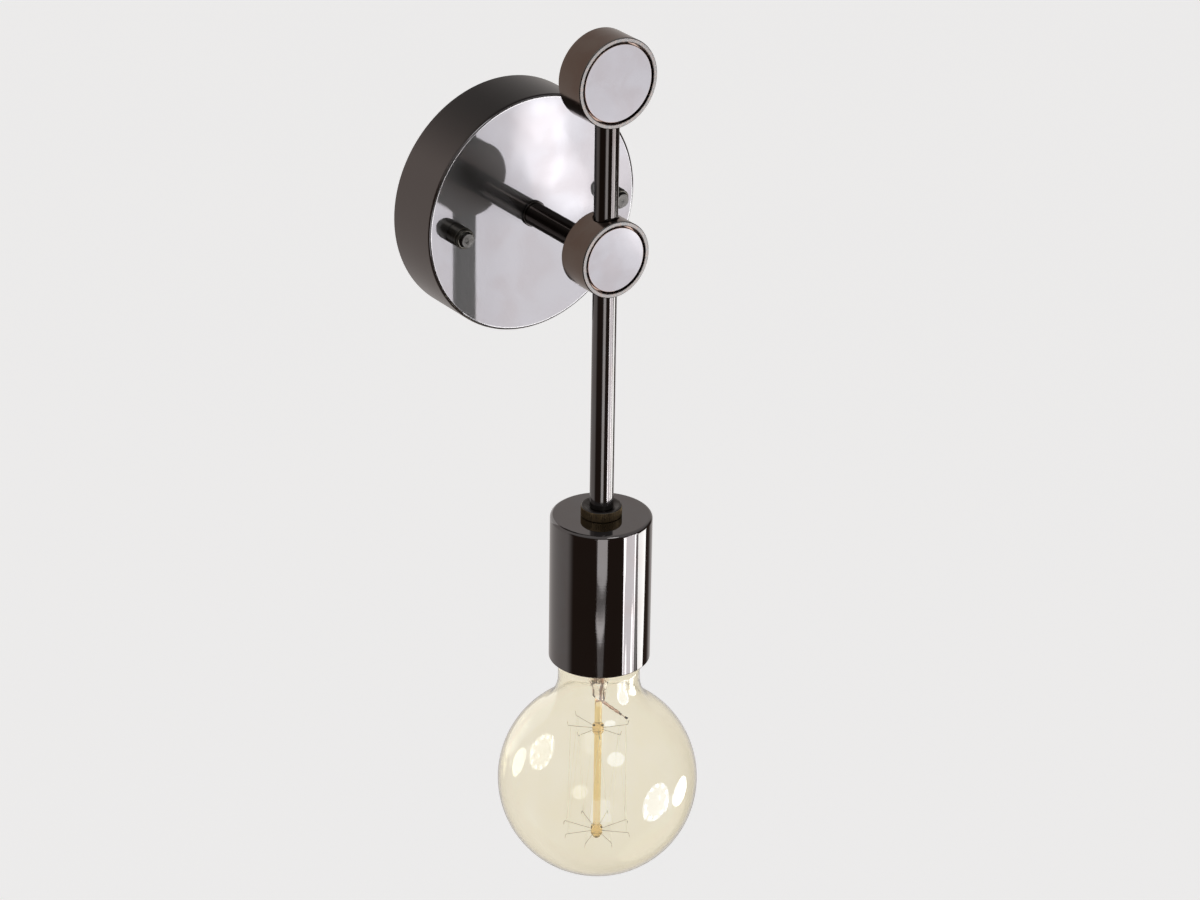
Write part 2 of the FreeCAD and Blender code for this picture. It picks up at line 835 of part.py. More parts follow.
def bead_outline(level):
    """Rounded bead on the stem's rod, from below upwards, as (radius, height) points."""
    low = level - bead_half_height
    high = level + bead_half_height
    return [
        (stem_rod_radius, low - bead_collar, bead_collar_bend), (bead_radius, low, bead_round),
        (bead_radius, high, bead_round), (stem_rod_radius, high + bead_collar, bead_collar_bend),
    ]


def around(reach, angle, height):
    """Point at this distance and direction from the lamp's axis."""
    turn = math.radians(angle)
    return V(reach * math.cos(turn), reach * math.sin(turn), height)


def hook_level(bead, reach):
    """Height of a hook's wire where the filament crosses it."""
    run = reach - stem_rod_radius
    return globe_centre + bead + hook_rise * run / (run + hook_overrun)


def upper_angles():
    """Directions of the upper hooks; the station left free is where the two leads come out."""
    return [first_hook_angle - hook_step * i for i in range(hook_count - 1)]


def lower_angles():
    """Directions of the lower hooks, half a step before each upper station."""
    return [first_hook_angle - hook_step * (i - 0.5) for i in range(hook_count)]


def hooks(angles, bead, reach, tip):
    """Support wires out of a bead, each rising a little and ending in a bent tip."""
    wires = []
    for angle in angles:
        points = [
            around(stem_rod_radius, angle, globe_centre + bead),
            around(reach + hook_overrun, angle, globe_centre + bead + hook_rise),
            around(reach + hook_overrun + hook_lean, angle, globe_centre + bead + hook_rise + tip),
        ]
        wires.append(swept(points, [0, hook_bend, 0], hook_wire_radius))
    return wires


def upper_hooks():
    return hooks(upper_angles(), upper_bead, upper_hook_reach, hook_tip)


def lower_hooks():
    return hooks(lower_angles(), lower_bead, lower_hook_reach, -hook_tip)


def lead_end(angle):
    """Point where a lead's clamp holds one end of the filament."""
    return around(lead_reach, angle, hook_level(upper_bead, upper_hook_reach))


def lead_wires():
    """Two leads from the cap through the press, each a stout wire with a thin tail and a clamp on its end."""
    leads = []
    for angle, turn in zip(lead_angles, (-90, 90)):
        top = around(lead_offset, lead_gap_middle + turn, insulator_base - lead_in_cap)
        knee = around(lead_offset, lead_gap_middle + turn, stem_press_end - lead_bend_drop)
        end = lead_end(angle)
        run = end - knee
        stout = swept([top, knee, knee + run * lead_stout_share], [0, lead_bend, 0], lead_radius)
        tail = Part.makeCylinder(lead_tail_radius, run.Length * (1 - lead_stout_share), end, -run)
        clamp = Part.makeCylinder(lead_clamp_radius, lead_clamp_length, end, -run)
        leads.append(stout.fuse([tail, clamp]).removeSplitter())
    return leads


def strung_corners(start, centres, end, radius):
    """Corners of a path from start to end whose rounded bends of this radius are centred on the centres."""
    corners = [V(centre) for centre in centres]
    lean = UP * hook_rise
    for i, corner in enumerate(corners):
        corners[i] = corner + (lean if i % 2 else -lean)
    for _ in range(settling_rounds):
        path = [start] + corners + [end]
        for i, centre in enumerate(centres):
            back = V(path[i] - path[i + 1]).normalize()
            ahead = V(path[i + 2] - path[i + 1]).normalize()
            half = back.getAngle(ahead) / 2
            inward = V(back + ahead).normalize()
            corners[i] = centre - inward * (radius / math.sin(half))
    return corners


def filament():
    """One wire strung under the lower hooks and over the upper ones in turn, from lead to lead."""
    high = hook_level(upper_bead, upper_hook_reach)
    low = hook_level(lower_bead, lower_hook_reach)
    above = [around(upper_hook_reach, angle, high) for angle in upper_angles()]
    below = [around(lower_hook_reach, angle, low) for angle in lower_angles()]
    centres = [below[0]]
    for over, under in zip(above, below[1:]):
        centres += [over, under]
    start, end = (lead_end(angle) for angle in lead_angles)
    points = [start] + strung_corners(start, centres, end, filament_wrap) + [end]
    radii = [0] + [filament_wrap] * len(centres) + [0]
    wire = swept(points, radii, filament_radius)
    return wire.cut(lead_wires())


def glass_stem():
    """Flared tube, flat press over the leads, and the rod with the two beads that hold the hooks."""
    seal = globe_seal_radius - glass_wall
    flare = turned([
        (seal - stem_flare_wall, globe_seal_height), (seal, globe_seal_height),
        (stem_flare_radius, stem_flare_level, stem_flare_radius), (stem_neck_radius, stem_press_top),
        (stem_neck_radius - stem_neck_wall, stem_press_top),
        (stem_flare_radius - stem_neck_wall, stem_flare_level, stem_flare_radius),
    ])
    circle = Part.Wire(Part.makeCircle(stem_neck_radius, V(0, 0, stem_press_top)))
    flat = Part.Wire(Part.Ellipse(V(0, 0, stem_press), press_half_width, press_half_thickness).toShape())
    lowest = V(0, 0, stem_press_end)
    flat_end = Part.Wire(Part.Ellipse(lowest, press_end_half_width, press_end_half_thickness).toShape())
    press = Part.makeLoft([circle, flat], True)
    blade = Part.makeLoft([flat, flat_end], True)
    for piece in (press, blade):
        piece.rotate(ORIGIN, UP, lead_gap_middle + 90)
    foot = globe_centre + lower_bead - bead_radius - stem_foot
    shaft = turned(
        [(0, foot), (stem_rod_radius, foot, stem_foot_edge)]
        + bead_outline(globe_centre + lower_bead) + bead_outline(globe_centre + upper_bead)
        + [(stem_rod_radius, stem_press_end + press_lap), (0, stem_press_end + press_lap)]
    )
    stem = flare.fuse([press, blade, shaft]).removeSplitter()
    return stem.cut(upper_hooks() + lower_hooks() + lead_wires())


def bulb_cap():
    """Thin screw cap: rolled lip at the glass, straight side, shoulder drawn in to the insulator."""
    inner = cap_radius - cap_wall
    lip = cap_lip_radius - cap_wall
    mouth = insulator_neck + thread_play
    return in_lamp_place(turned([
        (lip, 0), (cap_lip_radius, 0), (cap_lip_radius, cap_lip_height),
        (cap_radius, cap_lip_height + cap_lip_slope), (cap_radius, cap_shoulder, cap_shoulder_bend),
        (mouth + cap_seat, insulator_base), (mouth, insulator_base), (mouth, insulator_base - cap_seat),
        (inner, cap_shoulder - cap_wall, cap_shoulder_bend - cap_wall), (inner, cap_lip_height + cap_seat),
        (lip, cap_lip_height - cap_seat / 2),
    ]))


def cap_insulator():
    low = insulator_base - insulator_depth
    return in_lamp_place(turned([
        (0, low), (insulator_neck - insulator_edge, low), (insulator_neck, low + insulator_edge),
        (insulator_neck, insulator_base), (insulator_neck + cap_seat, insulator_base),
        (insulator_face, insulator_top, insulator_edge), (0, insulator_top),
    ]))


def cap_contact():
    return in_lamp_place(turned([
        (0, insulator_top), (contact_radius, insulator_top),
        (contact_radius, insulator_top + contact_edge, contact_edge / 2), (0, cap_length),
    ]))


def as_list(made):
    return made if isinstance(made, list) else [made]


def sconce():
    """Every node's name with its solid, or its group of identical solids."""
    nodes = {
        "canopy": canopy(),
        "mounting_plate": mounting_plate(),
        "mounting_studs": mounting_studs(),
        "stud_jam_nuts": stud_jam_nuts(),
        "round_nuts": round_nuts(),
        "ground_screw": ground_screw(),
        "terminal_block": terminal_block(),
        "block_screws": block_screws(),
        "arm_collar": arm_collar(),
        "arm_tube": arm_tube(),
        "arm_lock_washer": arm_lock_washer(),
        "arm_locknut": arm_locknut(),
        "hub_body": hub_body(),
        "hub_cover": place_drum(drum_cover(hub_radius, hub_depth), hub_depth, 0),
        "upper_rod": upper_rod(),
        "top_body": top_body(),
        "top_cover": place_drum(drum_cover(top_radius, top_depth), top_depth, top_height),
        "lower_rod": lower_rod(),
        "knurled_nut": knurled_nut(),
        "socket_cup": socket_cup(),
        "holder_bracket": holder_bracket(),
        "bracket_locknut": bracket_locknut(),
        "bracket_screws": bracket_screws(),
        "holder_body": holder_body(),
        "screw_shell": screw_shell(),
        "centre_contact": centre_contact(),
        "terminal_clamps": terminal_clamps(),
        "terminal_screws": terminal_screws(),
        "live_wire": supply_wire(-1),
        "neutral_wire": supply_wire(1),
        "bulb_glass": bulb_glass(),
        "glass_stem": in_lamp_place(glass_stem()),
        "upper_hooks": [in_lamp_place(wire) for wire in upper_hooks()],
        "lower_hooks": [in_lamp_place(wire) for wire in lower_hooks()],
        "filament": in_lamp_place(filament()),
        "lead_wires": [in_lamp_place(wire) for wire in lead_wires()],
        "bulb_cap": bulb_cap(),
        "cap_insulator": cap_insulator(),
        "cap_contact": cap_contact(),
    }
    return {name: as_list(made) for name, made in nodes.items()}


def export(nodes):
    """Write one STEP file per node and print how many solids it holds and their volume."""
    os.makedirs("parts", exist_ok=True)
    for name, shapes in nodes.items():
        solids = [solid for shape in shapes for solid in shape.Solids]
        body = solids[0] if len(solids) == 1 else Part.makeCompound(solids)
        volume = sum(solid.Volume for solid in solids)
        print(f"{name}: {len(solids)} solid(s), {volume:.1f} mm3, valid {body.isValid()}")
        body.exportStep(f"parts/{name}.step")


export(sconce())
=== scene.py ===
"""Cylinder wall sconce: finishes, modelled threads and lamp details, studio light and camera."""

import logging
import math
from dataclasses import dataclass
from enum import Enum
from functools import cache

import bpy
from mathutils import Euler, Matrix, Vector


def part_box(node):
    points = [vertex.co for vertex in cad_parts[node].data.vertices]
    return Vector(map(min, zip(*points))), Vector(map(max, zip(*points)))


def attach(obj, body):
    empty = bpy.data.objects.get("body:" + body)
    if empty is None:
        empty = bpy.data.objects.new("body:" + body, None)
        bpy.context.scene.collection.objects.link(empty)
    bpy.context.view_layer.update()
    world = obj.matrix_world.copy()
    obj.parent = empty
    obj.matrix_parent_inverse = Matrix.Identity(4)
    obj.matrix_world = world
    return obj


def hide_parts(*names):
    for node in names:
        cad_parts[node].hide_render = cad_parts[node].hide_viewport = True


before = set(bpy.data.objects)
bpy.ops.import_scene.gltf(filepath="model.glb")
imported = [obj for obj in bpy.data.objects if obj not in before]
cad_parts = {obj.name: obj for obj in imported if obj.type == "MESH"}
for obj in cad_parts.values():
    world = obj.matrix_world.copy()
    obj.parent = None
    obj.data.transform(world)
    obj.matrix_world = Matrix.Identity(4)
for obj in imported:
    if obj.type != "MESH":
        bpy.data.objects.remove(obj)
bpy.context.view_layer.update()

Triple = tuple[float, float, float]
Colour = Triple
Span = tuple[float, float]
Outline = list[tuple[float, float]]
Source = bpy.types.NodeSocket | float | tuple[float, ...]

log = logging.getLogger("sconce")
MM = 0.001


class Grain(Enum):
    """Direction of the fine lines that making or polishing leaves in a metal."""

    NONE = "none"
    TURNED_UPRIGHT = "lines round a vertical axis"
    SPUN_FRONT = "rings round the arm's axis"
    DRAWN_UPRIGHT = "lines along a vertical tube"
    DRAWN_FRONT = "lines along the arm"


def rgba(colour: Colour) -> tuple[float, float, float, float]:
    """Colour with full opacity."""
    return (*colour, 1.0)


class NodeTree:
    """Node tree with the moves that the finishes and the room share."""

    def __init__(self, tree: bpy.types.NodeTree) -> None:
        """Take hold of the tree's nodes and links."""
        self.nodes = tree.nodes
        self.links = tree.links

    def add(self, kind: str, **settings: object) -> bpy.types.Node:
        """Add a node.

        Args:
            kind: Blender's name of the node type.
            settings: properties to set on it.

        Returns:
            The new node.
        """
        node = self.nodes.new(kind)
        for key, value in settings.items():
            setattr(node, key, value)
        return node

    def feed(self, socket: bpy.types.NodeSocket, value: Source) -> None:
        """Link a socket into another, or set a plain value on it.

        Args:
            socket: input that takes the value.
            value: an output socket, a number, a vector or a colour.
        """
        if isinstance(value, bpy.types.NodeSocket):
            self.links.new(value, socket)
        else:
            socket.default_value = value

    def remap(
        self, value: bpy.types.NodeSocket, start: float, end: float, low: float = 0.0, high: float = 1.0
    ) -> bpy.types.NodeSocket:
        """Smooth step of a value from one range to another.

        Args:
            value: value to remap.
            start: input that gives low.
            end: input that gives high.
            low: first output.
            high: last output.

        Returns:
            The remapped value.
        """
        node = self.add("ShaderNodeMapRange", interpolation_type="SMOOTHSTEP")
        for key, number in zip(("From Min", "From Max", "To Min", "To Max"), (start, end, low, high)):
            node.inputs[key].default_value = number
        self.feed(node.inputs["Value"], value)
        return node.outputs["Result"]

    def math(self, operation: str, *values: Source) -> bpy.types.NodeSocket:
        """Do one arithmetic step.

        Args:
            operation: Blender's name of the step.
            values: numbers or sockets that go in.

        Returns:
            The result.
        """
        node = self.add("ShaderNodeMath", operation=operation)
        for socket, value in zip(node.inputs, values):
            self.feed(socket, value)
        return node.outputs["Value"]

    def blend(self, share: Source, first: Source, second: Source) -> bpy.types.NodeSocket:
        """Mix two colours.

        Args:
            share: how much of the second colour shows.
            first: a colour or its source.
            second: a colour or its source.

        Returns:
            The mixed colour.
        """
        node = self.add("ShaderNodeMix", data_type="RGBA")
        self.feed(node.inputs["Factor"], share)
        for socket, colour in ((node.inputs[6], first), (node.inputs[7], second)):
            self.feed(socket, rgba(colour) if isinstance(colour, tuple) else colour)
        return node.outputs[2]

    def between(self, share: Source, first: Source, second: Source) -> bpy.types.NodeSocket:
        """Mix two numbers.

        Args:
            share: how much of the second number counts.
            first: a number or its source.
            second: a number or its source.

        Returns:
            The mixed number.
        """
        node = self.add("ShaderNodeMix", data_type="FLOAT")
        for socket, value in zip(node.inputs[:1] + node.inputs[2:4], (share, first, second)):
            self.feed(socket, value)
        return node.outputs[0]


class NodeBench(NodeTree):
    """Node tree of one material, read on object coordinates."""

    def __init__(self, name: str) -> None:
        """Start a material with a Principled shader.

        Args:
            name: name of the material.
        """
        self.material = bpy.data.materials.new(name)
        self.material.use_nodes = True
        super().__init__(self.material.node_tree)
        self.shader = self.nodes["Principled BSDF"]
        self.place = self.add("ShaderNodeTexCoord").outputs["Object"]

    def set(self, **values: Source) -> None:
        """Set inputs of the shader, named with underscores for spaces.

        Args:
            values: input name and its value or source.
        """
        for key, value in values.items():
            self.feed(self.shader.inputs[key.replace("_", " ")], value)

    def stretched(self, stretch: Triple) -> bpy.types.NodeSocket:
        """Scale the object coordinates along each axis.

        Args:
            stretch: scale along X, Y and Z.

        Returns:
            The scaled coordinates.
        """
        mapping = self.add("ShaderNodeMapping", vector_type="POINT")
        self.feed(mapping.inputs["Vector"], self.place)
        mapping.inputs["Scale"].default_value = stretch
        return mapping.outputs["Vector"]

    def noise(
        self,
        size: float,
        detail: float = 3.0,
        source: bpy.types.NodeSocket | None = None,
        distortion: float = 0.0,
    ) -> bpy.types.NodeSocket:
        """Soft random pattern.

        Args:
            size: size of one blotch, in metres.
            detail: octaves of finer pattern.
            source: coordinates, if not the object's own.
            distortion: how much the pattern is swirled.

        Returns:
            Value from 0 to 1.
        """
        node = self.add("ShaderNodeTexNoise")
        self.feed(node.inputs["Vector"], source or self.place)
        node.inputs["Scale"].default_value = 1.0 / size
        node.inputs["Detail"].default_value = detail
        node.inputs["Distortion"].default_value = distortion
        return node.outputs["Fac"]

    def part(self, axis: str) -> bpy.types.NodeSocket:
        """Take one coordinate of the place.

        Args:
            axis: X, Y or Z.

        Returns:
            The coordinate in metres.
        """
        node = self.add("ShaderNodeSeparateXYZ")
        self.feed(node.inputs["Vector"], self.place)
        return node.outputs[axis]

    def distance_from(self, centre: Vector, ignore: str) -> bpy.types.NodeSocket:
        """Distance from a straight axis through a point.

        Args:
            centre: a point on the axis.
            ignore: axis that runs along it, X, Y or Z.

        Returns:
            Distance in metres.
        """
        mapping = self.add("ShaderNodeMapping", vector_type="POINT")
        self.feed(mapping.inputs["Vector"], self.place)
        keep = [0.0 if name == ignore else 1.0 for name in "XYZ"]
        mapping.inputs["Location"].default_value = [-c * k for c, k in zip(centre, keep)]
        mapping.inputs["Scale"].default_value = keep
        length = self.add("ShaderNodeVectorMath", operation="LENGTH")
        self.feed(length.inputs[0], mapping.outputs["Vector"])
        return length.outputs["Value"]

    def bump(
        self, height: bpy.types.NodeSocket, depth: float, under: bpy.types.NodeSocket | None = None
    ) -> bpy.types.NodeSocket:
        """Raise a pattern on the surface.

        Args:
            height: pattern from 0 to 1.
            depth: real height of the pattern, in metres.
            under: bump that this one lies on.

        Returns:
            The normal.
        """
        node = self.add("ShaderNodeBump")
        node.inputs["Strength"].default_value = 1.0
        node.inputs["Distance"].default_value = depth
        self.feed(node.inputs["Height"], height)
        if under is not None:
            self.feed(node.inputs["Normal"], under)
        return node.outputs["Normal"]


@dataclass(frozen=True)
class Ring:
    """Ring on a round piece where the metal is rubbed bright or left dull, or where a painted highlight or
    painted shade goes.

    The ring lies outside one radius round an axis, inside another where one is given, and below a level
    along the axis where one is given. Its colour can change towards the top of a rise above the axis, as
    painted shade there. A bare ring has no lacquer, and one that isn't even is broken by small spots.
    """

    centre: Triple
    along: str
    inner: float
    colour: Colour
    polish: float
    outer: float | None = None
    fade: float = 0.05 * MM
    level: float | None = None
    even: bool = False
    # colour of the painted shade towards the top of the rise
    high: Colour | None = None
    rise: float = 56 * MM
    change: float = 28 * MM
    bare: bool = False
    spot_size: float = 1.4 * MM
    spot_span: Span = (0.28, 0.6)
    spot_least: float = 0.6

    def tone(self, bench: NodeBench) -> Source:
        """Give the ring its colour, turning to painted shade towards the top where a high colour is given.

        Args:
            bench: node tree to add to.

        Returns:
            The colour, or its source where it changes upwards.
        """
        if self.high is None:
            return self.colour
        # painted shade: the colour turns to the high colour over the top of the rise
        top = self.centre[2] + self.rise
        height = bench.remap(bench.part("Z"), top - self.change, top)
        return bench.blend(height, self.colour, self.high)

    def share(self, bench: NodeBench) -> bpy.types.NodeSocket:
        """Where the ring shows.

        Args:
            bench: node tree to add to.

        Returns:
            Value from 0 to 1.
        """
        radius = bench.distance_from(Vector(self.centre), self.along)
        share = bench.remap(radius, self.inner - self.fade, self.inner + self.fade)
        if self.outer is not None:
            within = bench.remap(radius, self.outer - self.fade, self.outer + self.fade, low=1.0, high=0.0)
            share = bench.math("MULTIPLY", share, within)
        if self.level is not None:
            place = bench.part(self.along)
            below = bench.remap(place, self.level, self.level + self.fade, low=1.0, high=0.0)
            share = bench.math("MULTIPLY", share, below)
        if self.even:
            return share
        spots = bench.remap(bench.noise(self.spot_size, detail=4.0), *self.spot_span, low=self.spot_least)
        return bench.math("MULTIPLY", share, spots)


@dataclass(frozen=True)
class Metal:
    """Metal with patina, haze, fine lines and the slow waviness of hand polishing."""

    name: str
    shade: Colour
    patina: Colour
    patch: float = 18 * MM
    patch_span: Span = (0.38, 0.68)
    polish: float = 0.25
    haze: float = 0.12
    smudge_share: float = 0.45
    smudge_span: Span = (0.35, 0.75)
    lacquer: float = 0.0
    lacquer_polish: float = 0.03
    lacquer_ior: float = 1.5
    grain: Grain = Grain.NONE
    grain_size: float = 0.35 * MM
    grain_depth: float = 1.0e-6
    grain_run: float = 0.004
    wave_size: float = 30 * MM
    wave_depth: float = 0.0
    scratch_depth: float = 0.6e-6
    scratch_size: float = 0.22 * MM
    scratch_run: Triple = (1.0, 0.12, 0.25)
    rings: tuple[Ring, ...] = ()

    def grain_pattern(self, bench: NodeBench) -> bpy.types.NodeSocket | None:
        """Fine lines in the metal's grain direction.

        Args:
            bench: node tree to add to.

        Returns:
            The pattern, or None for a metal without grain.
        """
        run = self.grain_run
        stretch = {
            Grain.TURNED_UPRIGHT: (run, run, 1.0),
            Grain.DRAWN_UPRIGHT: (1.0, 1.0, run),
            Grain.DRAWN_FRONT: (1.0, run, 1.0),
        }
        if self.grain in stretch:
            return bench.noise(self.grain_size, detail=4.0, source=bench.stretched(stretch[self.grain]))
        if self.grain is Grain.SPUN_FRONT:
            node = bench.add("ShaderNodeTexNoise", noise_dimensions="1D")
            bench.feed(node.inputs["W"], bench.distance_from(Vector(), "Y"))
            node.inputs["Scale"].default_value = 1.0 / self.grain_size
            return node.outputs["Fac"]
        return None

    @cache
    def material(self) -> bpy.types.Material:
        """Build the node material.

        Returns:
            The finished material.
        """
        bench = NodeBench(self.name)
        patches = bench.remap(bench.noise(self.patch, detail=5.0, distortion=0.6), *self.patch_span)
        colour = bench.blend(patches, self.shade, self.patina)
        smudge = bench.remap(bench.noise(self.patch * self.smudge_share, detail=6.0), *self.smudge_span)
        rough = bench.math("MULTIPLY_ADD", smudge, self.haze, self.polish)
        lacquer = self.lacquer
        for ring in self.rings:
            share = ring.share(bench)
            colour = bench.blend(share, colour, ring.tone(bench))
            rough = bench.between(share, rough, ring.polish)
            if lacquer and ring.bare:
                lacquer = bench.between(share, lacquer, 0.0)
        scratch = bench.noise(self.scratch_size, source=bench.stretched(self.scratch_run), distortion=1.2)
        normal = bench.bump(scratch, self.scratch_depth)
        if self.wave_depth:
            normal = bench.bump(bench.noise(self.wave_size, detail=1.5), self.wave_depth, normal)
        lines = self.grain_pattern(bench)
        if lines is not None:
            normal = bench.bump(lines, self.grain_depth, normal)
        bench.set(Base_Color=colour, Metallic=1.0, Roughness=rough, Normal=normal)
        if lacquer:
            bench.set(Coat_Weight=lacquer, Coat_Roughness=self.lacquer_polish, Coat_IOR=self.lacquer_ior)
            bench.set(Coat_Normal=normal)
        return bench.material


@dataclass(frozen=True)
class Band:
    """Level band of a glass piece with a colour of its own."""

    level: float
    half: float
    colour: Colour


@dataclass(frozen=True)
class Glass:
    """Clear tinted glass, deeper in colour where it is seen edge on, with a painted reflection in its outline
    colour round its rim.
    """

    name: str
    face: Colour
    edge: Colour
    outline: Colour
    ior: float = 1.5
    wave_size: float = 22 * MM
    wave_depth: float = 12e-6
    gleam: Colour = (1.0, 1.0, 1.0)
    facing_blend: float = 0.35
    edge_from: float = 0.25
    outline_from: float = 0.86
    swirl: float = 0.18
    swirl_span: Span = (0.3, 0.7)
    band_fade: float = 0.4 * MM
    bands: tuple[Band, ...] = ()

    @cache
    def material(self) -> bpy.types.Material:
        """Build the node material.

        Returns:
            The finished material.
        """
        bench = NodeBench(self.name)
        weight = bench.add("ShaderNodeLayerWeight")
        weight.inputs["Blend"].default_value = self.facing_blend
        facing = weight.outputs["Facing"]
        edge = bench.remap(facing, self.edge_from, 1.0)
        swirl = bench.remap(bench.noise(self.wave_size, detail=2.0), *self.swirl_span, high=self.swirl)
        colour = bench.blend(bench.math("MAXIMUM", edge, swirl), self.face, self.edge)
        # painted reflection: the outline colour where the glass is seen nearly edge on
        outline = bench.remap(facing, self.outline_from, 1.0)
        colour = bench.blend(outline, colour, self.outline)
        for band in self.bands:
            away = bench.math("ABSOLUTE", bench.math("SUBTRACT", bench.part("Z"), band.level))
            inside = bench.remap(away, band.half, band.half + self.band_fade, low=1.0, high=0.0)
            colour = bench.blend(inside, colour, band.colour)
        normal = bench.bump(bench.noise(self.wave_size, detail=1.0), self.wave_depth)
        bench.set(Base_Color=colour, Roughness=0.0, IOR=self.ior, Transmission_Weight=1.0, Normal=normal)
        bench.set(Specular_Tint=rgba(self.gleam))
        return bench.material


@dataclass(frozen=True)
class Moulded:
    """Plastic, rubber, glaze or enamel: a coloured body with a speckle, soft gloss and slight skin."""

    name: str
    body: Colour
    speck: Colour
    speck_size: float = 0.8 * MM
    speck_span: Span = (0.45, 0.75)
    polish: float = 0.4
    haze: float = 0.15
    smudge_share: float = 8.0
    smudge_span: Span = (0.35, 0.7)
    skin_share: float = 0.6
    skin_depth: float = 4e-6
    glaze: float = 0.0
    glaze_polish: float = 0.04

    @cache
    def material(self) -> bpy.types.Material:
        """Build the node material.

        Returns:
            The finished material.
        """
        bench = NodeBench(self.name)
        specks = bench.remap(bench.noise(self.speck_size, detail=4.0), *self.speck_span)
        smudge = bench.remap(bench.noise(self.speck_size * self.smudge_share, detail=4.0), *self.smudge_span)
        rough = bench.math("MULTIPLY_ADD", smudge, self.haze, self.polish)
        normal = bench.bump(bench.noise(self.speck_size * self.skin_share, detail=2.0), self.skin_depth)
        colour = bench.blend(specks, self.body, self.speck)
        bench.set(Base_Color=colour, Roughness=rough, Normal=normal)
        if self.glaze:
            bench.set(Coat_Weight=self.glaze, Coat_Roughness=self.glaze_polish)
        return bench.material


Finish = Metal | Glass | Moulded

BRONZE: Colour = (0.152, 0.149, 0.158)
BROWN: Colour = (0.141, 0.133, 0.139)
WARM: Colour = (0.151, 0.143, 0.144)
UMBER: Colour = (0.146, 0.132, 0.130)
DULL: Colour = (0.162, 0.141, 0.134)
# Near-black: the collar's patina, the drums' groove ring and the painted shade at the top of the canopy's
# side.
BLACK_AND_PAINTED_SHADE: Colour = (0.030, 0.027, 0.026)
RUSSET: Colour = (0.182, 0.136, 0.112)
RUST: Colour = (0.165, 0.112, 0.088)
SILVER: Colour = (0.135, 0.132, 0.129)
# Pale grey for the painted highlight at the canopy's edge.
HIGHLIGHT_PALE: Colour = (0.330, 0.325, 0.330)
COPPER: Colour = (0.24, 0.14, 0.10)


def dress(node: str, finish: Finish) -> None:
    """Give a CAD node its finish.

    Args:
        node: name of the CAD node.
        finish: the finish for all of it.
    """
    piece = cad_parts[node]
    if not piece.material_slots:
        piece.data.materials.append(None)
    for held in piece.material_slots:
        held.material = finish.material()
    log.info("dressed %s in %s", node, finish.name)


def middle(node: str) -> Vector:
    """Middle of a CAD node's box."""
    low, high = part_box(node)
    return (low + high) / 2


def half_width(node: str) -> float:
    """Half of a CAD node's width along X."""
    low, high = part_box(node)
    return (high.x - low.x) / 2


class Workbench:
    """Hand moves in edit mode, for the pieces that are modelled here."""

    merge_gap: float = 1e-7

    @staticmethod
    def start_ring(radius: float, level: float, sides: int) -> bpy.types.Object:
        """Add an open ring about Z and enter edit mode with it selected.

        Args:
            radius: radius of the ring.
            level: its height.
            sides: its number of sides.

        Returns:
            The new object.
        """
        bpy.ops.object.select_all(action="DESELECT")
        bpy.ops.mesh.primitive_circle_add(vertices=sides, radius=radius, location=(0, 0, 0))
        ring = bpy.context.object
        bpy.ops.object.mode_set(mode="EDIT")
        bpy.ops.mesh.select_all(action="SELECT")
        bpy.ops.transform.translate(value=(0, 0, level))
        return ring

    @staticmethod
    def draw_to(ratio: float, rise: float, level: float) -> None:
        """Extrude the selected ring along Z and resize it.

        Args:
            ratio: new radius over the old one.
            rise: how far the ring moves along Z.
            level: its new height.
        """
        bpy.ops.mesh.extrude_region_move(TRANSFORM_OT_translate={"value": (0, 0, rise)})
        bpy.ops.transform.resize(value=(ratio, ratio, 1), center_override=(0, 0, level))

    @staticmethod
    def turn(outline: Outline, sides: int) -> bpy.types.Object:
        """Draw a ring through the points of an outline, as on a lathe, and stay in edit mode.

        Args:
            outline: radius and height of each corner.
            sides: number of sides.

        Returns:
            The new object.
        """
        radius, level = outline[0]
        made = Workbench.start_ring(radius, level, sides)
        for next_radius, next_level in outline[1:]:
            Workbench.draw_to(next_radius / radius, next_level - level, next_level)
            radius, level = next_radius, next_level
        return made

    @staticmethod
    def close(piece: bpy.types.Object, name: str, angle: float = 35.0) -> None:
        """Leave edit mode with merged points, outward faces and smooth shading.

        Args:
            piece: object in edit mode.
            name: its final name.
            angle: edges sharper than this stay sharp, in degrees.
        """
        bpy.ops.mesh.select_all(action="SELECT")
        bpy.ops.mesh.remove_doubles(threshold=Workbench.merge_gap)
        bpy.ops.mesh.normals_make_consistent(inside=False)
        bpy.ops.object.mode_set(mode="OBJECT")
        bpy.ops.object.shade_smooth_by_angle(angle=math.radians(angle))
        piece.name = name

    @staticmethod
    def draw_column(steps: int, ramp: int, offset: float, rise: float) -> None:
        """Extrude the selected ring into a column that runs off centre, and back at its end.

        Args:
            steps: number of extrusions.
            ramp: how many of them lead off centre, and how many back.
            offset: how far off centre the column runs.
            rise: height of one extrusion.
        """
        for step in range(steps):
            grow = offset / ramp if step < ramp else -offset / ramp if step >= steps - ramp else 0.0
            bpy.ops.mesh.extrude_region_move(TRANSFORM_OT_translate={"value": (grow, 0, rise)})

    @staticmethod
    def twist(piece: bpy.types.Object, turns: float) -> None:
        """Turn an off-centre column into a screw thread.

        Args:
            piece: the column, along Z about its own origin.
            turns: number of turns from its lowest to its highest point.
        """
        deform = piece.modifiers.new("thread", "SIMPLE_DEFORM")
        deform.deform_method = "TWIST"
        deform.deform_axis = "Z"
        deform.angle = math.tau * turns
        bpy.ops.object.modifier_apply(modifier=deform.name)

    @staticmethod
    def place(piece: bpy.types.Object, location: Vector, turn: Triple = (0, 0, 0)) -> None:
        """Turn and move a piece, and put its place into its mesh.

        Args:
            piece: the only selected object.
            location: where its origin goes.
            turn: Euler angles in radians.
        """
        piece.rotation_euler = turn
        piece.location = location
        bpy.ops.object.transform_apply(location=True, rotation=True, scale=True)


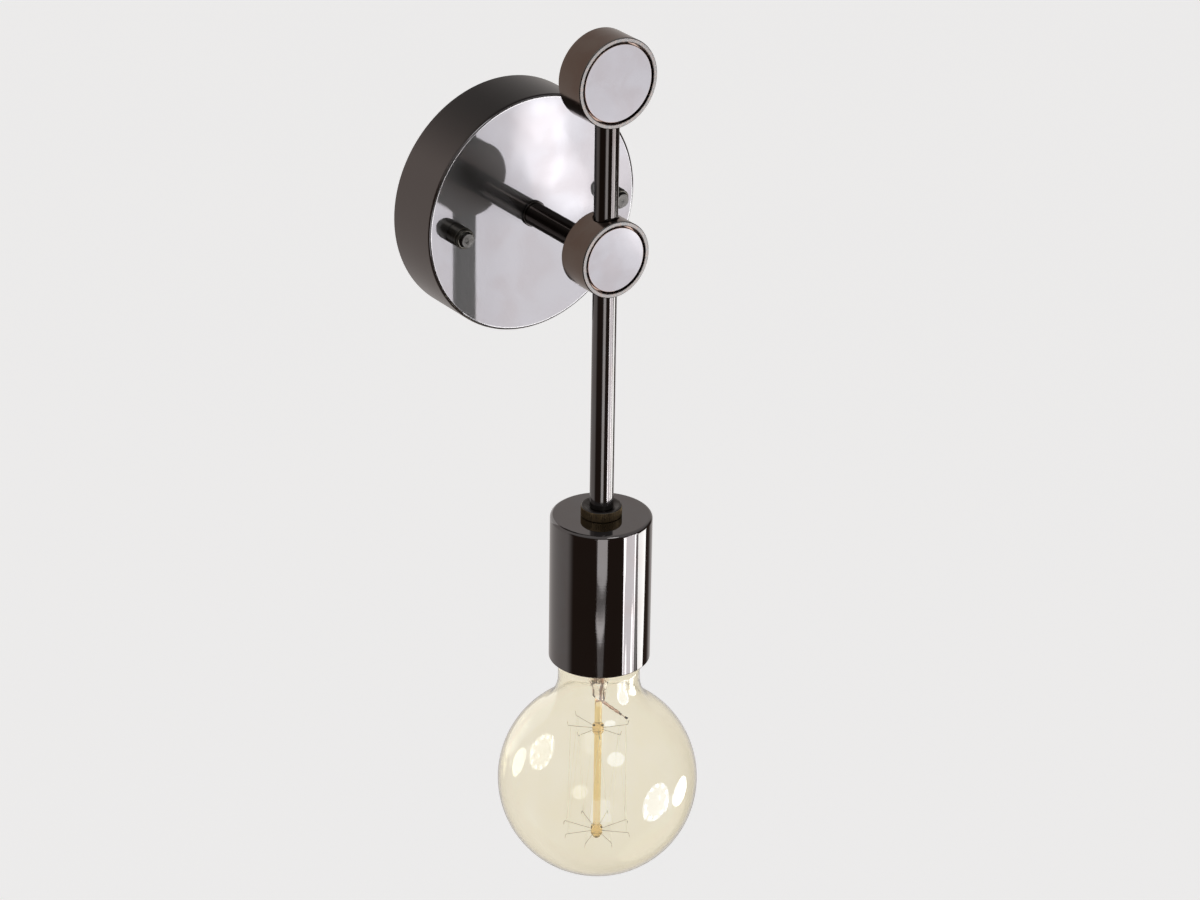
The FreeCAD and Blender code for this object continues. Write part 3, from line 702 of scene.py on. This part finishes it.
@dataclass
class WallSide:
    """Canopy with its plate, studs, nuts and terminals."""

    thread_pitch: float = 1.0 * MM
    thread_depth: float = 0.5 * MM
    thread_steps: int = 14
    thread_sides: int = 32
    nose_length: float = 1.5 * MM
    nose_step: float = 0.15 * MM
    nose_bevel: float = 0.28 * MM
    mark_radius: float = 0.45 * MM
    mark_floor: float = 0.0675 * MM
    mark_depth: float = 0.15 * MM

    def build(self) -> None:
        """Model the threaded studs."""
        low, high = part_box("mounting_studs")
        crest = (high.z - low.z) / 2
        self.stud("left_stud", low.x + crest, crest, high.y - low.y)
        self.stud("right_stud", high.x - crest, crest, high.y - low.y)

    def stud(self, name: str, across: float, crest: float, length: float) -> None:
        """Model one stud with its rolled thread, plain nose and centre mark.

        Args:
            name: name of the piece.
            across: its X.
            crest: radius over the thread.
            length: its whole length.
        """
        offset = self.thread_depth / 2
        radius = crest - offset
        threaded = length - self.nose_length
        steps = int(threaded / self.thread_pitch * self.thread_steps)
        piece = Workbench.start_ring(radius, 0.0, self.thread_sides)
        bpy.ops.mesh.edge_face_add()
        Workbench.draw_column(steps, self.thread_steps, offset, threaded / steps)
        nose: Outline = [
            (crest - self.nose_step, 0.0),
            (crest - self.nose_step, self.nose_length - self.nose_bevel),
            (crest - self.nose_bevel, self.nose_length),
            (self.mark_radius, self.nose_length),
            (self.mark_floor, self.nose_length - self.mark_depth),
        ]
        before, level = radius, threaded
        for reach, height in nose:
            Workbench.draw_to(reach / before, threaded + height - level, threaded + height)
            before, level = reach, threaded + height
        Workbench.close(piece, name)
        Workbench.twist(piece, length / self.thread_pitch)
        Workbench.place(piece, Vector((across, 0, middle("mounting_studs").z)), (math.pi / 2, 0, 0))
        piece.data.materials.append(STUD_STEEL.material())
        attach(piece, "fixture")
        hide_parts("mounting_studs")
        log.info("modelled %s", name)

    def dress(self) -> None:
        """Finish the wall side's CAD nodes."""
        dress("canopy", CANOPY_BRONZE)
        dress("mounting_plate", ZINC)
        dress("stud_jam_nuts", ZINC)
        dress("round_nuts", BLACK_STEEL)
        dress("ground_screw", GREEN_STEEL)
        dress("terminal_block", BLOCK_PLASTIC)
        dress("block_screws", ZINC)
        dress("live_wire", BLACK_JACKET)
        dress("neutral_wire", WHITE_JACKET)


@dataclass
class ArmAndDrums:
    """Arm, rods and the two drums with their covers."""

    rim_width: float = 1.75 * MM
    rim_depth: float = 0.45 * MM
    groove_width: float = 2.15 * MM
    disc_edge: float = 0.30 * MM

    def drum(self, body: str, cover: str) -> None:
        """Finish one drum and its cover, each with its rubbed ring.

        Args:
            body: node of the drum.
            cover: node of the disc in its front.
        """
        centre = tuple(middle(body))
        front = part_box(body)[0].y + self.rim_depth
        radius = half_width(body)
        rim = Ring(centre, "Y", radius - self.rim_width, SILVER, polish=0.3, level=front)
        groove = Ring(centre, "Y", radius - self.groove_width, BLACK_AND_PAINTED_SHADE, polish=0.5,
                      outer=radius - self.rim_width, bare=True)
        dress(body, Metal(f"{body}_bronze", RUSSET, RUST, patch=14 * MM, polish=0.12, haze=0.06, lacquer=0.2,
                          lacquer_polish=0.1, grain=Grain.DRAWN_FRONT, grain_depth=0.5e-6,
                          rings=(rim, groove)))
        edge = Ring(centre, "Y", half_width(cover) - self.disc_edge, COPPER, polish=0.2, fade=0.04 * MM)
        dress(cover, Metal(f"{cover}_bronze", BRONZE, BROWN, polish=0.08, haze=0.05, lacquer=0.6,
                           wave_depth=4e-6, wave_size=12 * MM, grain=Grain.DRAWN_UPRIGHT, grain_depth=0.3e-6,
                           rings=(edge,)))

    def dress(self) -> None:
        """Finish the arm, rods and drums."""
        self.drum("hub_body", "hub_cover")
        self.drum("top_body", "top_cover")
        dress("arm_collar", COLLAR_BRONZE)
        dress("arm_tube", ARM_BRONZE)
        dress("upper_rod", PAINTED_SHADE_BRONZE)
        dress("lower_rod", ROD_BRONZE)
        dress("arm_lock_washer", ZINC)
        dress("arm_locknut", ZINC)


@dataclass
class SocketAndHolder:
    """Socket cup, knurled nut and the lampholder inside."""

    def dress(self) -> None:
        """Finish the cup, nut and lampholder."""
        dress("knurled_nut", KNURL_BRONZE)
        dress("socket_cup", CUP_BRONZE)
        dress("holder_bracket", ZINC)
        dress("bracket_locknut", ZINC)
        dress("bracket_screws", ZINC)
        dress("holder_body", PORCELAIN)
        dress("screw_shell", BRASS)
        dress("centre_contact", BRASS)
        dress("terminal_clamps", BRASS)
        dress("terminal_screws", BRASS)


@dataclass
class GlobeLamp:
    """Globe lamp: glass, stem, cage filament and threaded cap."""

    pitch: float = 3.629 * MM
    thread_depth: float = 0.95 * MM
    thread_low: float = 2.2 * MM
    thread_high: float = 18.0 * MM
    steps_per_turn: int = 28
    sides: int = 72
    wall: float = 0.3 * MM
    lip_height: float = 1.2 * MM
    lip_step: float = 0.35 * MM
    shoulder_rise: float = 1.2 * MM
    shoulder_step: float = 0.7 * MM
    mouth: float = 9.0 * MM

    def build(self) -> None:
        """Model the cap with its rolled thread."""
        low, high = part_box("bulb_cap")
        lip = (high.x - low.x) / 2
        offset = self.thread_depth / 2
        radius = lip - self.lip_step - offset
        neck = radius - self.shoulder_step
        shoulder = self.thread_high + self.shoulder_rise
        height = high.z - low.z
        piece = Workbench.turn([(lip, 0.0), (lip, self.lip_height), (radius, self.thread_low)], self.sides)
        threaded = self.thread_high - self.thread_low
        steps = int(threaded / self.pitch * self.steps_per_turn)
        Workbench.draw_column(steps, self.steps_per_turn // 2, offset, threaded / steps)
        Workbench.draw_to(neck / radius, self.shoulder_rise, shoulder)
        Workbench.draw_to(self.mouth / neck, height - shoulder, height)
        Workbench.close(piece, "threaded_cap", angle=40.0)
        Workbench.twist(piece, height / self.pitch)
        wall = piece.modifiers.new("wall", "SOLIDIFY")
        wall.thickness = self.wall
        wall.offset = -1.0
        bpy.ops.object.modifier_apply(modifier=wall.name)
        axis = middle("bulb_cap")
        Workbench.place(piece, Vector((axis.x, axis.y, low.z)))
        piece.data.materials.append(CAP_METAL.material())
        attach(piece, "bulb")
        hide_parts("bulb_cap")
        log.info("modelled threaded_cap")

    def dress(self) -> None:
        """Finish the lamp's CAD nodes."""
        dress("bulb_glass", AMBER_GLASS)
        dress("glass_stem", STEM_GLASS)
        dress("upper_hooks", HOOK_WIRE)
        dress("lower_hooks", HOOK_WIRE)
        dress("filament", FILAMENT)
        dress("lead_wires", LEAD_WIRE)
        dress("cap_insulator", BLACK_GLASS)
        dress("cap_contact", SOLDER)


# Finishes of the bronze pieces, with painted highlight and painted shade on some of them
ARM_AXIS = (0.0, 0.0, 0.0)
CANOPY_RADIUS = half_width("canopy")
SIDE_REACH = 0.45 * MM
EDGE_REACH = 1.5 * MM
EDGE_GAP = 0.85 * MM
# The canopy side's ring darkens to near-black towards its top: painted shade on its upper part.
CANOPY_SIDE = Ring(ARM_AXIS, "Y", CANOPY_RADIUS - SIDE_REACH, DULL, polish=0.22, fade=0.15 * MM, even=True,
                   high=BLACK_AND_PAINTED_SHADE, bare=True)
# The pale ring just inside the canopy's rim is a painted highlight on the face's rounded edge.
CANOPY_EDGE_HIGHLIGHT = Ring(ARM_AXIS, "Y", CANOPY_RADIUS - EDGE_REACH, HIGHLIGHT_PALE, polish=0.2, fade=0.1 * MM, even=True,
                   outer=CANOPY_RADIUS - EDGE_GAP, bare=True)
CANOPY_BRONZE = Metal("canopy_bronze", BRONZE, BROWN, patch=22 * MM, polish=0.035, haze=0.025, lacquer=0.75,
                      lacquer_polish=0.48, lacquer_ior=2.0, grain=Grain.SPUN_FRONT, grain_depth=0.05e-6,
                      wave_depth=32e-6, wave_size=28 * MM, scratch_depth=0.1e-6,
                      rings=(CANOPY_EDGE_HIGHLIGHT, CANOPY_SIDE))
ROD_BRONZE = Metal("rod_bronze", WARM, UMBER, polish=0.08, haze=0.04, lacquer=0.3, grain=Grain.DRAWN_UPRIGHT,
                   grain_depth=0.4e-6)
# The upper rod's bronze is the rod bronze made darker: painted shade under the top drum.
PAINTED_SHADE_BRONZE = Metal("painted_shade_bronze", (0.108, 0.100, 0.098), (0.101, 0.089, 0.085), polish=0.08, haze=0.04,
                      lacquer=0.15, grain=Grain.DRAWN_UPRIGHT, grain_depth=0.4e-6)
ARM_BRONZE = Metal("arm_bronze", (0.068, 0.056, 0.050), (0.060, 0.047, 0.040), polish=0.08, haze=0.04,
                   lacquer=0.06, grain=Grain.DRAWN_FRONT, grain_depth=0.4e-6)
COLLAR_BRONZE = Metal("collar_bronze", (0.055, 0.049, 0.046), BLACK_AND_PAINTED_SHADE, patch=5 * MM, polish=0.16)
CUP_BRONZE = Metal("cup_bronze", WARM, UMBER, patch=22 * MM, polish=0.035, haze=0.025, lacquer=0.5,
                   grain=Grain.TURNED_UPRIGHT, grain_size=1.3 * MM, grain_depth=1.6e-6, wave_depth=8e-6,
                   wave_size=24 * MM, scratch_depth=0.3e-6)
OLIVE: Colour = (0.25, 0.19, 0.11)
KNURL_DEPTH = 0.6 * MM
KNURL_BEVEL = 0.35 * MM
KNURL_SIDE = Ring(tuple(middle("knurled_nut")), "Z", half_width("knurled_nut") - KNURL_DEPTH, OLIVE,
                  polish=0.45, level=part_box("knurled_nut")[1].z - KNURL_BEVEL)
KNURL_BRONZE = Metal("knurl_bronze", (0.075, 0.070, 0.066), (0.055, 0.050, 0.045), patch=4 * MM, polish=0.3,
                     rings=(KNURL_SIDE,))

# Finishes of the fasteners, contacts and wires
STUD_STEEL = Metal("stud_steel", (0.092, 0.09, 0.086), (0.075, 0.072, 0.068), patch=3 * MM, polish=0.26)
BLACK_STEEL = Metal("blackened_steel", (0.065, 0.062, 0.052), (0.09, 0.083, 0.065), patch=3 * MM, polish=0.28,
                    lacquer=0.4, lacquer_polish=0.15)
ZINC = Metal("zinc_steel", (0.56, 0.55, 0.52), (0.48, 0.46, 0.38), patch=9 * MM, polish=0.36, haze=0.2)
GREEN_STEEL = Metal("green_steel", (0.04, 0.26, 0.08), (0.03, 0.16, 0.05), patch=2 * MM, polish=0.35)
BRASS = Metal("contact_brass", (0.62, 0.44, 0.18), (0.48, 0.32, 0.13), patch=4 * MM, polish=0.3)
CAP_METAL = Metal("cap_metal", (0.70, 0.58, 0.33), (0.58, 0.46, 0.25), patch=6 * MM, polish=0.24)
SOLDER = Metal("solder", (0.62, 0.62, 0.60), (0.45, 0.45, 0.44), patch=2 * MM, polish=0.3)
HOOK_WIRE = Metal("support_wire", (0.40, 0.41, 0.36), (0.30, 0.30, 0.26), patch=2 * MM, polish=0.35)
FILAMENT = Metal("filament_wire", (0.76, 0.78, 0.74), (0.66, 0.67, 0.62), patch=2 * MM, polish=0.45)
LAMP_AXIS = tuple(middle("bulb_glass"))
TIP_INNER = 14.4 * MM
CLAMP_INNER = 10.4 * MM
CLAMP_OUTER = 11.9 * MM
LEAD_CLAMPS = (Ring(LAMP_AXIS, "Z", TIP_INNER, (0.05, 0.05, 0.05), polish=0.4),
               Ring(LAMP_AXIS, "Z", CLAMP_INNER, (0.06, 0.06, 0.06), polish=0.4, outer=CLAMP_OUTER))
LEAD_WIRE = Metal("lead_wire", (0.52, 0.36, 0.31), (0.40, 0.30, 0.27), patch=3 * MM, polish=0.35,
                  rings=LEAD_CLAMPS)

# Finishes of the porcelain, plastic and glass
PORCELAIN = Moulded("porcelain", (0.82, 0.80, 0.75), (0.74, 0.71, 0.65), polish=0.25, glaze=0.8)
BLOCK_PLASTIC = Moulded("block_plastic", (0.62, 0.60, 0.55), (0.55, 0.53, 0.48))
BLACK_JACKET = Moulded("wire_black", (0.02, 0.02, 0.02), (0.035, 0.035, 0.035), polish=0.42)
WHITE_JACKET = Moulded("wire_white", (0.75, 0.74, 0.70), (0.68, 0.66, 0.62), polish=0.42)
BLACK_GLASS = Moulded("black_glass", (0.012, 0.012, 0.02), (0.03, 0.03, 0.045), polish=0.12, glaze=1.0)
# The globe's grey outline colour is a painted dark reflection round its rim.
AMBER_GLASS = Glass("amber_glass", (0.985, 0.956, 0.86), (0.94, 0.865, 0.68), (0.64, 0.63, 0.60),
                    gleam=(0.70, 0.82, 1.0))
BEAD_GOLD: Colour = (0.85, 0.64, 0.33)
PRESS_CLEAR: Colour = (0.97, 0.92, 0.88)
BEAD_HALF = 2.9 * MM
BEAD_DROP = 1.6 * MM
PRESS_HALF = 11.0 * MM
PRESS_DROP = 13.0 * MM
STEM_BANDS = (Band(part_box("upper_hooks")[0].z, BEAD_HALF, BEAD_GOLD),
              Band(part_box("lower_hooks")[1].z - BEAD_DROP, BEAD_HALF, BEAD_GOLD),
              Band(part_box("bulb_cap")[0].z - PRESS_DROP, PRESS_HALF, PRESS_CLEAR))
# The stem's lighter edge and near-white outline colours are a painted highlight along its sides.
STEM_GLASS = Glass("stem_glass", (0.89, 0.72, 0.40), (0.94, 0.82, 0.54), (0.98, 0.95, 0.86), wave_depth=4e-6,
                   bands=STEM_BANDS)


class Outlook(Enum):
    """Outline of a light panel."""

    OVAL = "ELLIPSE"
    OBLONG = "RECTANGLE"

    def fullness(self) -> float:
        """Area over that of the box round it."""
        return math.pi / 4 if self is Outlook.OVAL else 1.0


@dataclass(frozen=True)
class Panel:
    """Soft light panel, placed by its direction from the sconce."""

    name: str
    azimuth: float
    elevation: float
    width: float
    height: float
    radiance: float
    tint: Colour = (1.0, 1.0, 1.0)
    distance: float = 1.4
    shape: Outlook = Outlook.OVAL
    sides: int = 48

    def add(self, aim: Vector) -> None:
        """Hang the panel so that it faces the sconce, unseen by the camera, also through the glass.

        Args:
            aim: point that the panel faces.
        """
        turn, tilt = math.radians(self.azimuth), math.radians(self.elevation)
        toward = Vector((math.sin(turn) * math.cos(tilt), -math.cos(turn) * math.cos(tilt), math.sin(tilt)))
        width = 2 * self.distance * math.tan(math.radians(self.width / 2))
        height = 2 * self.distance * math.tan(math.radians(self.height / 2))
        place = aim + toward * self.distance
        facing = (-toward).to_track_quat("-Z", "Y").to_euler()
        self.add_image(place, facing, width, height)
        bpy.ops.object.light_add(type="AREA", location=place)
        lamp = bpy.context.object
        lamp.name = self.name
        lamp.rotation_euler = facing
        lamp.visible_camera = False
        lamp.visible_transmission = False
        lamp.data.shape = self.shape.value
        lamp.data.size = width
        lamp.data.size_y = height
        lamp.data.color = self.tint
        lamp.data.energy = self.radiance * math.pi * width * height * self.shape.fullness()

    def add_image(self, place: Vector, facing: Euler, width: float, height: float) -> None:
        """Add the sheet that shows the panel to light mirrored inside the glass.

        Args:
            place: middle of the panel.
            facing: turn of the panel.
            width: width of the panel.
            height: height of the panel.
        """
        bpy.ops.object.select_all(action="DESELECT")
        if self.shape is Outlook.OVAL:
            bpy.ops.mesh.primitive_circle_add(
                vertices=self.sides, radius=0.5, fill_type="NGON", location=place
            )
        else:
            bpy.ops.mesh.primitive_plane_add(size=1.0, location=place)
        sheet = bpy.context.object
        sheet.name = f"{self.name}_image"
        sheet.rotation_euler = facing
        sheet.scale = (width, height, 1.0)
        sheet.visible_camera = False
        sheet.visible_diffuse = False
        sheet.visible_glossy = False
        sheet.visible_shadow = False
        sheet.data.materials.append(self.image_light())

    def image_light(self) -> bpy.types.Material:
        """Make the sheet's light: the panel's own for mirrored rays, clear for the rest.

        Returns:
            The finished material.
        """
        bench = NodeBench(f"{self.name}_image")
        path = bench.add("ShaderNodeLightPath")
        mirrored = bench.math("GREATER_THAN", path.outputs["Glossy Depth"], 0.0)
        light = bench.add("ShaderNodeEmission")
        bench.feed(light.inputs["Color"], rgba(self.tint))
        bench.feed(light.inputs["Strength"], bench.math("MULTIPLY", mirrored, self.radiance))
        both = bench.add("ShaderNodeAddShader")
        bench.feed(both.inputs[0], light.outputs["Emission"])
        bench.feed(both.inputs[1], bench.add("ShaderNodeBsdfTransparent").outputs["BSDF"])
        bench.feed(bench.nodes["Material Output"].inputs["Surface"], both.outputs["Shader"])
        bench.material.cycles.emission_sampling = "NONE"
        return bench.material


@dataclass
class Studio:
    """Camera at the photograph's angle, pale floor, light panels and the dim room that the metal mirrors."""

    azimuth: float = 35.757
    elevation: float = 25.92
    roll: float = 0.862
    distance: float = 1.872
    lens: float = 122.872
    sensor: float = 36.0
    aim: Triple = (-0.00528, -0.09154, -0.09413)
    floor_level: float = -2.6
    floor_half: float = 40.0
    floor_paint: tuple[Colour, Colour] = ((0.78, 0.785, 0.79), (0.80, 0.80, 0.80))
    floor_patch: float = 0.9
    floor_matt: float = 0.9
    floor_glow: float = 0.60
    pale: Colour = (0.86, 0.865, 0.87)
    back_glow: Colour = (0.48, 0.45, 0.435)
    room_glow: Colour = (0.060, 0.041, 0.032)
    ceiling_glow: Colour = (0.40, 0.395, 0.39)
    back_span: Span = (0.12, 0.42)
    ceiling_span: Span = (0.15, 0.60)
    rim_lamps: int = 11
    rim_start: float = 0.4
    rim_reach: float = 0.43
    rim_lamp_size: float = 4.0
    rim_lamp_radiance: float = 5.0
    panels: tuple[Panel, ...] = (
        Panel("key_panel", 33.6, -20.4, 33.4, 35.0, 3.1, (1.0, 0.985, 1.01)),
        Panel("glow_wide", 38.0, -17.4, 4.4, 4.6, 1.0),
        Panel("glow_core", 36.8, -17.5, 1.6, 3.0, 1.6),
        Panel("glow_low", 37.6, -18.9, 1.5, 2.2, 1.4),
        Panel("glow_high", 36.8, -16.6, 1.8, 1.8, 0.9),
        Panel("glow_tail", 38.2, -20.0, 1.4, 1.6, 0.7),
        Panel("key_edge_left", 19.6, -27.0, 2.4, 14.0, 5.0),
        Panel("key_edge_right", 48.6, -27.0, 3.0, 14.0, 4.5),
        Panel("gap_panel", 54.5, -28.0, 9.0, 12.0, 0.7),
        Panel("side_panel", 71.0, -26.4, 25.0, 17.0, 4.6, (0.98, 1.0, 0.98)),
        Panel("fill_panel", -31.5, -16.9, 20.0, 26.0, 1.2, shape=Outlook.OBLONG),
        Panel("fill_shoulder", -33.0, -17.0, 30.0, 33.0, 0.3),
        Panel("fill_foot", -34.5, -31.2, 18.0, 0.8, 1.7),
        Panel("sky_panel", -5.0, 42.0, 22.0, 18.0, 3.0),
        Panel("back_panel", 180.0, 8.0, 46.0, 60.0, 0.45),
    )

    def key_rim(self) -> tuple[Panel, ...]:
        """Small lamps round the key panel's rim.

        Returns:
            One panel for each lamp.
        """
        key = self.panels[0]
        lamps = []
        for i in range(self.rim_lamps):
            turn = math.tau * (i + self.rim_start) / self.rim_lamps
            azimuth = key.azimuth + self.rim_reach * key.width * math.cos(turn)
            elevation = key.elevation + self.rim_reach * key.height * math.sin(turn)
            size = self.rim_lamp_size
            lamps.append(Panel(f"rim_lamp_{i}", azimuth, elevation, size, size, self.rim_lamp_radiance))
        return tuple(lamps)

    def camera(self) -> None:
        """Set the camera at the photograph's place, turn and lens."""
        turn, tilt, roll = (math.radians(angle) for angle in (self.azimuth, self.elevation, self.roll))
        ahead = Vector((math.sin(turn) * math.cos(tilt), math.cos(turn) * math.cos(tilt), -math.sin(tilt)))
        level = Vector((math.cos(turn), -math.sin(turn), 0))
        upright = level.cross(ahead)
        right = level * math.cos(roll) + upright * math.sin(roll)
        up = upright * math.cos(roll) - level * math.sin(roll)
        bpy.ops.object.camera_add()
        camera = bpy.context.object
        camera.name = "photo_camera"
        camera.data.lens = self.lens
        camera.data.sensor_width = self.sensor
        turned = Matrix((right, up, -ahead)).transposed().to_4x4()
        camera.matrix_world = Matrix.Translation(Vector(self.aim) - ahead * self.distance) @ turned
        bpy.context.scene.camera = camera

    def floor(self) -> None:
        """Lay the pale floor; mirrors look past it, so that they show the room alone."""
        bpy.ops.object.select_all(action="DESELECT")
        bpy.ops.mesh.primitive_plane_add(size=2 * self.floor_half, location=(0, 0, self.floor_level))
        floor = bpy.context.object
        floor.name = "pale_floor"
        floor.visible_glossy = False
        bench = NodeBench("floor_paint")
        grey = bench.blend(bench.noise(self.floor_patch, detail=2.0), *self.floor_paint)
        bench.set(Base_Color=grey, Roughness=self.floor_matt)
        bench.set(Emission_Color=rgba(self.pale), Emission_Strength=self.floor_glow)
        floor.data.materials.append(bench.material)

    def room(self) -> None:
        """Light the world: a pale side behind the sconce, a dim room in front, a soft ceiling above."""
        world = bpy.data.worlds.new("room")
        bpy.context.scene.world = world
        world.use_nodes = True
        tree = NodeTree(world.node_tree)
        split = tree.add("ShaderNodeSeparateXYZ")
        tree.feed(split.inputs["Vector"], tree.add("ShaderNodeTexCoord").outputs["Generated"])
        lift = tree.remap(split.outputs["Z"], *self.ceiling_span)
        front = tree.blend(lift, self.room_glow, self.ceiling_glow)
        side = tree.remap(split.outputs["Y"], *self.back_span)
        glow = tree.blend(side, front, self.back_glow)
        ray = tree.add("ShaderNodeLightPath")
        seen = tree.math("MAXIMUM", ray.outputs["Is Camera Ray"], ray.outputs["Is Transmission Ray"])
        tree.feed(tree.nodes["Background"].inputs["Color"], tree.blend(seen, glow, self.pale))

    def build(self) -> None:
        """Set camera, floor, room and panels."""
        self.camera()
        self.floor()
        self.room()
        for panel in self.panels + self.key_rim():
            panel.add(Vector(self.aim))
        bpy.context.scene.view_settings.view_transform = "Standard"


def main() -> None:
    """Build and dress each sub-assembly, then the studio."""
    logging.basicConfig(level=logging.INFO, format="%(name)s: %(message)s")
    wall_side = WallSide()
    wall_side.build()
    wall_side.dress()
    ArmAndDrums().dress()
    SocketAndHolder().dress()
    lamp = GlobeLamp()
    lamp.build()
    lamp.dress()
    Studio().build()


if __name__ == "__main__":
    main()
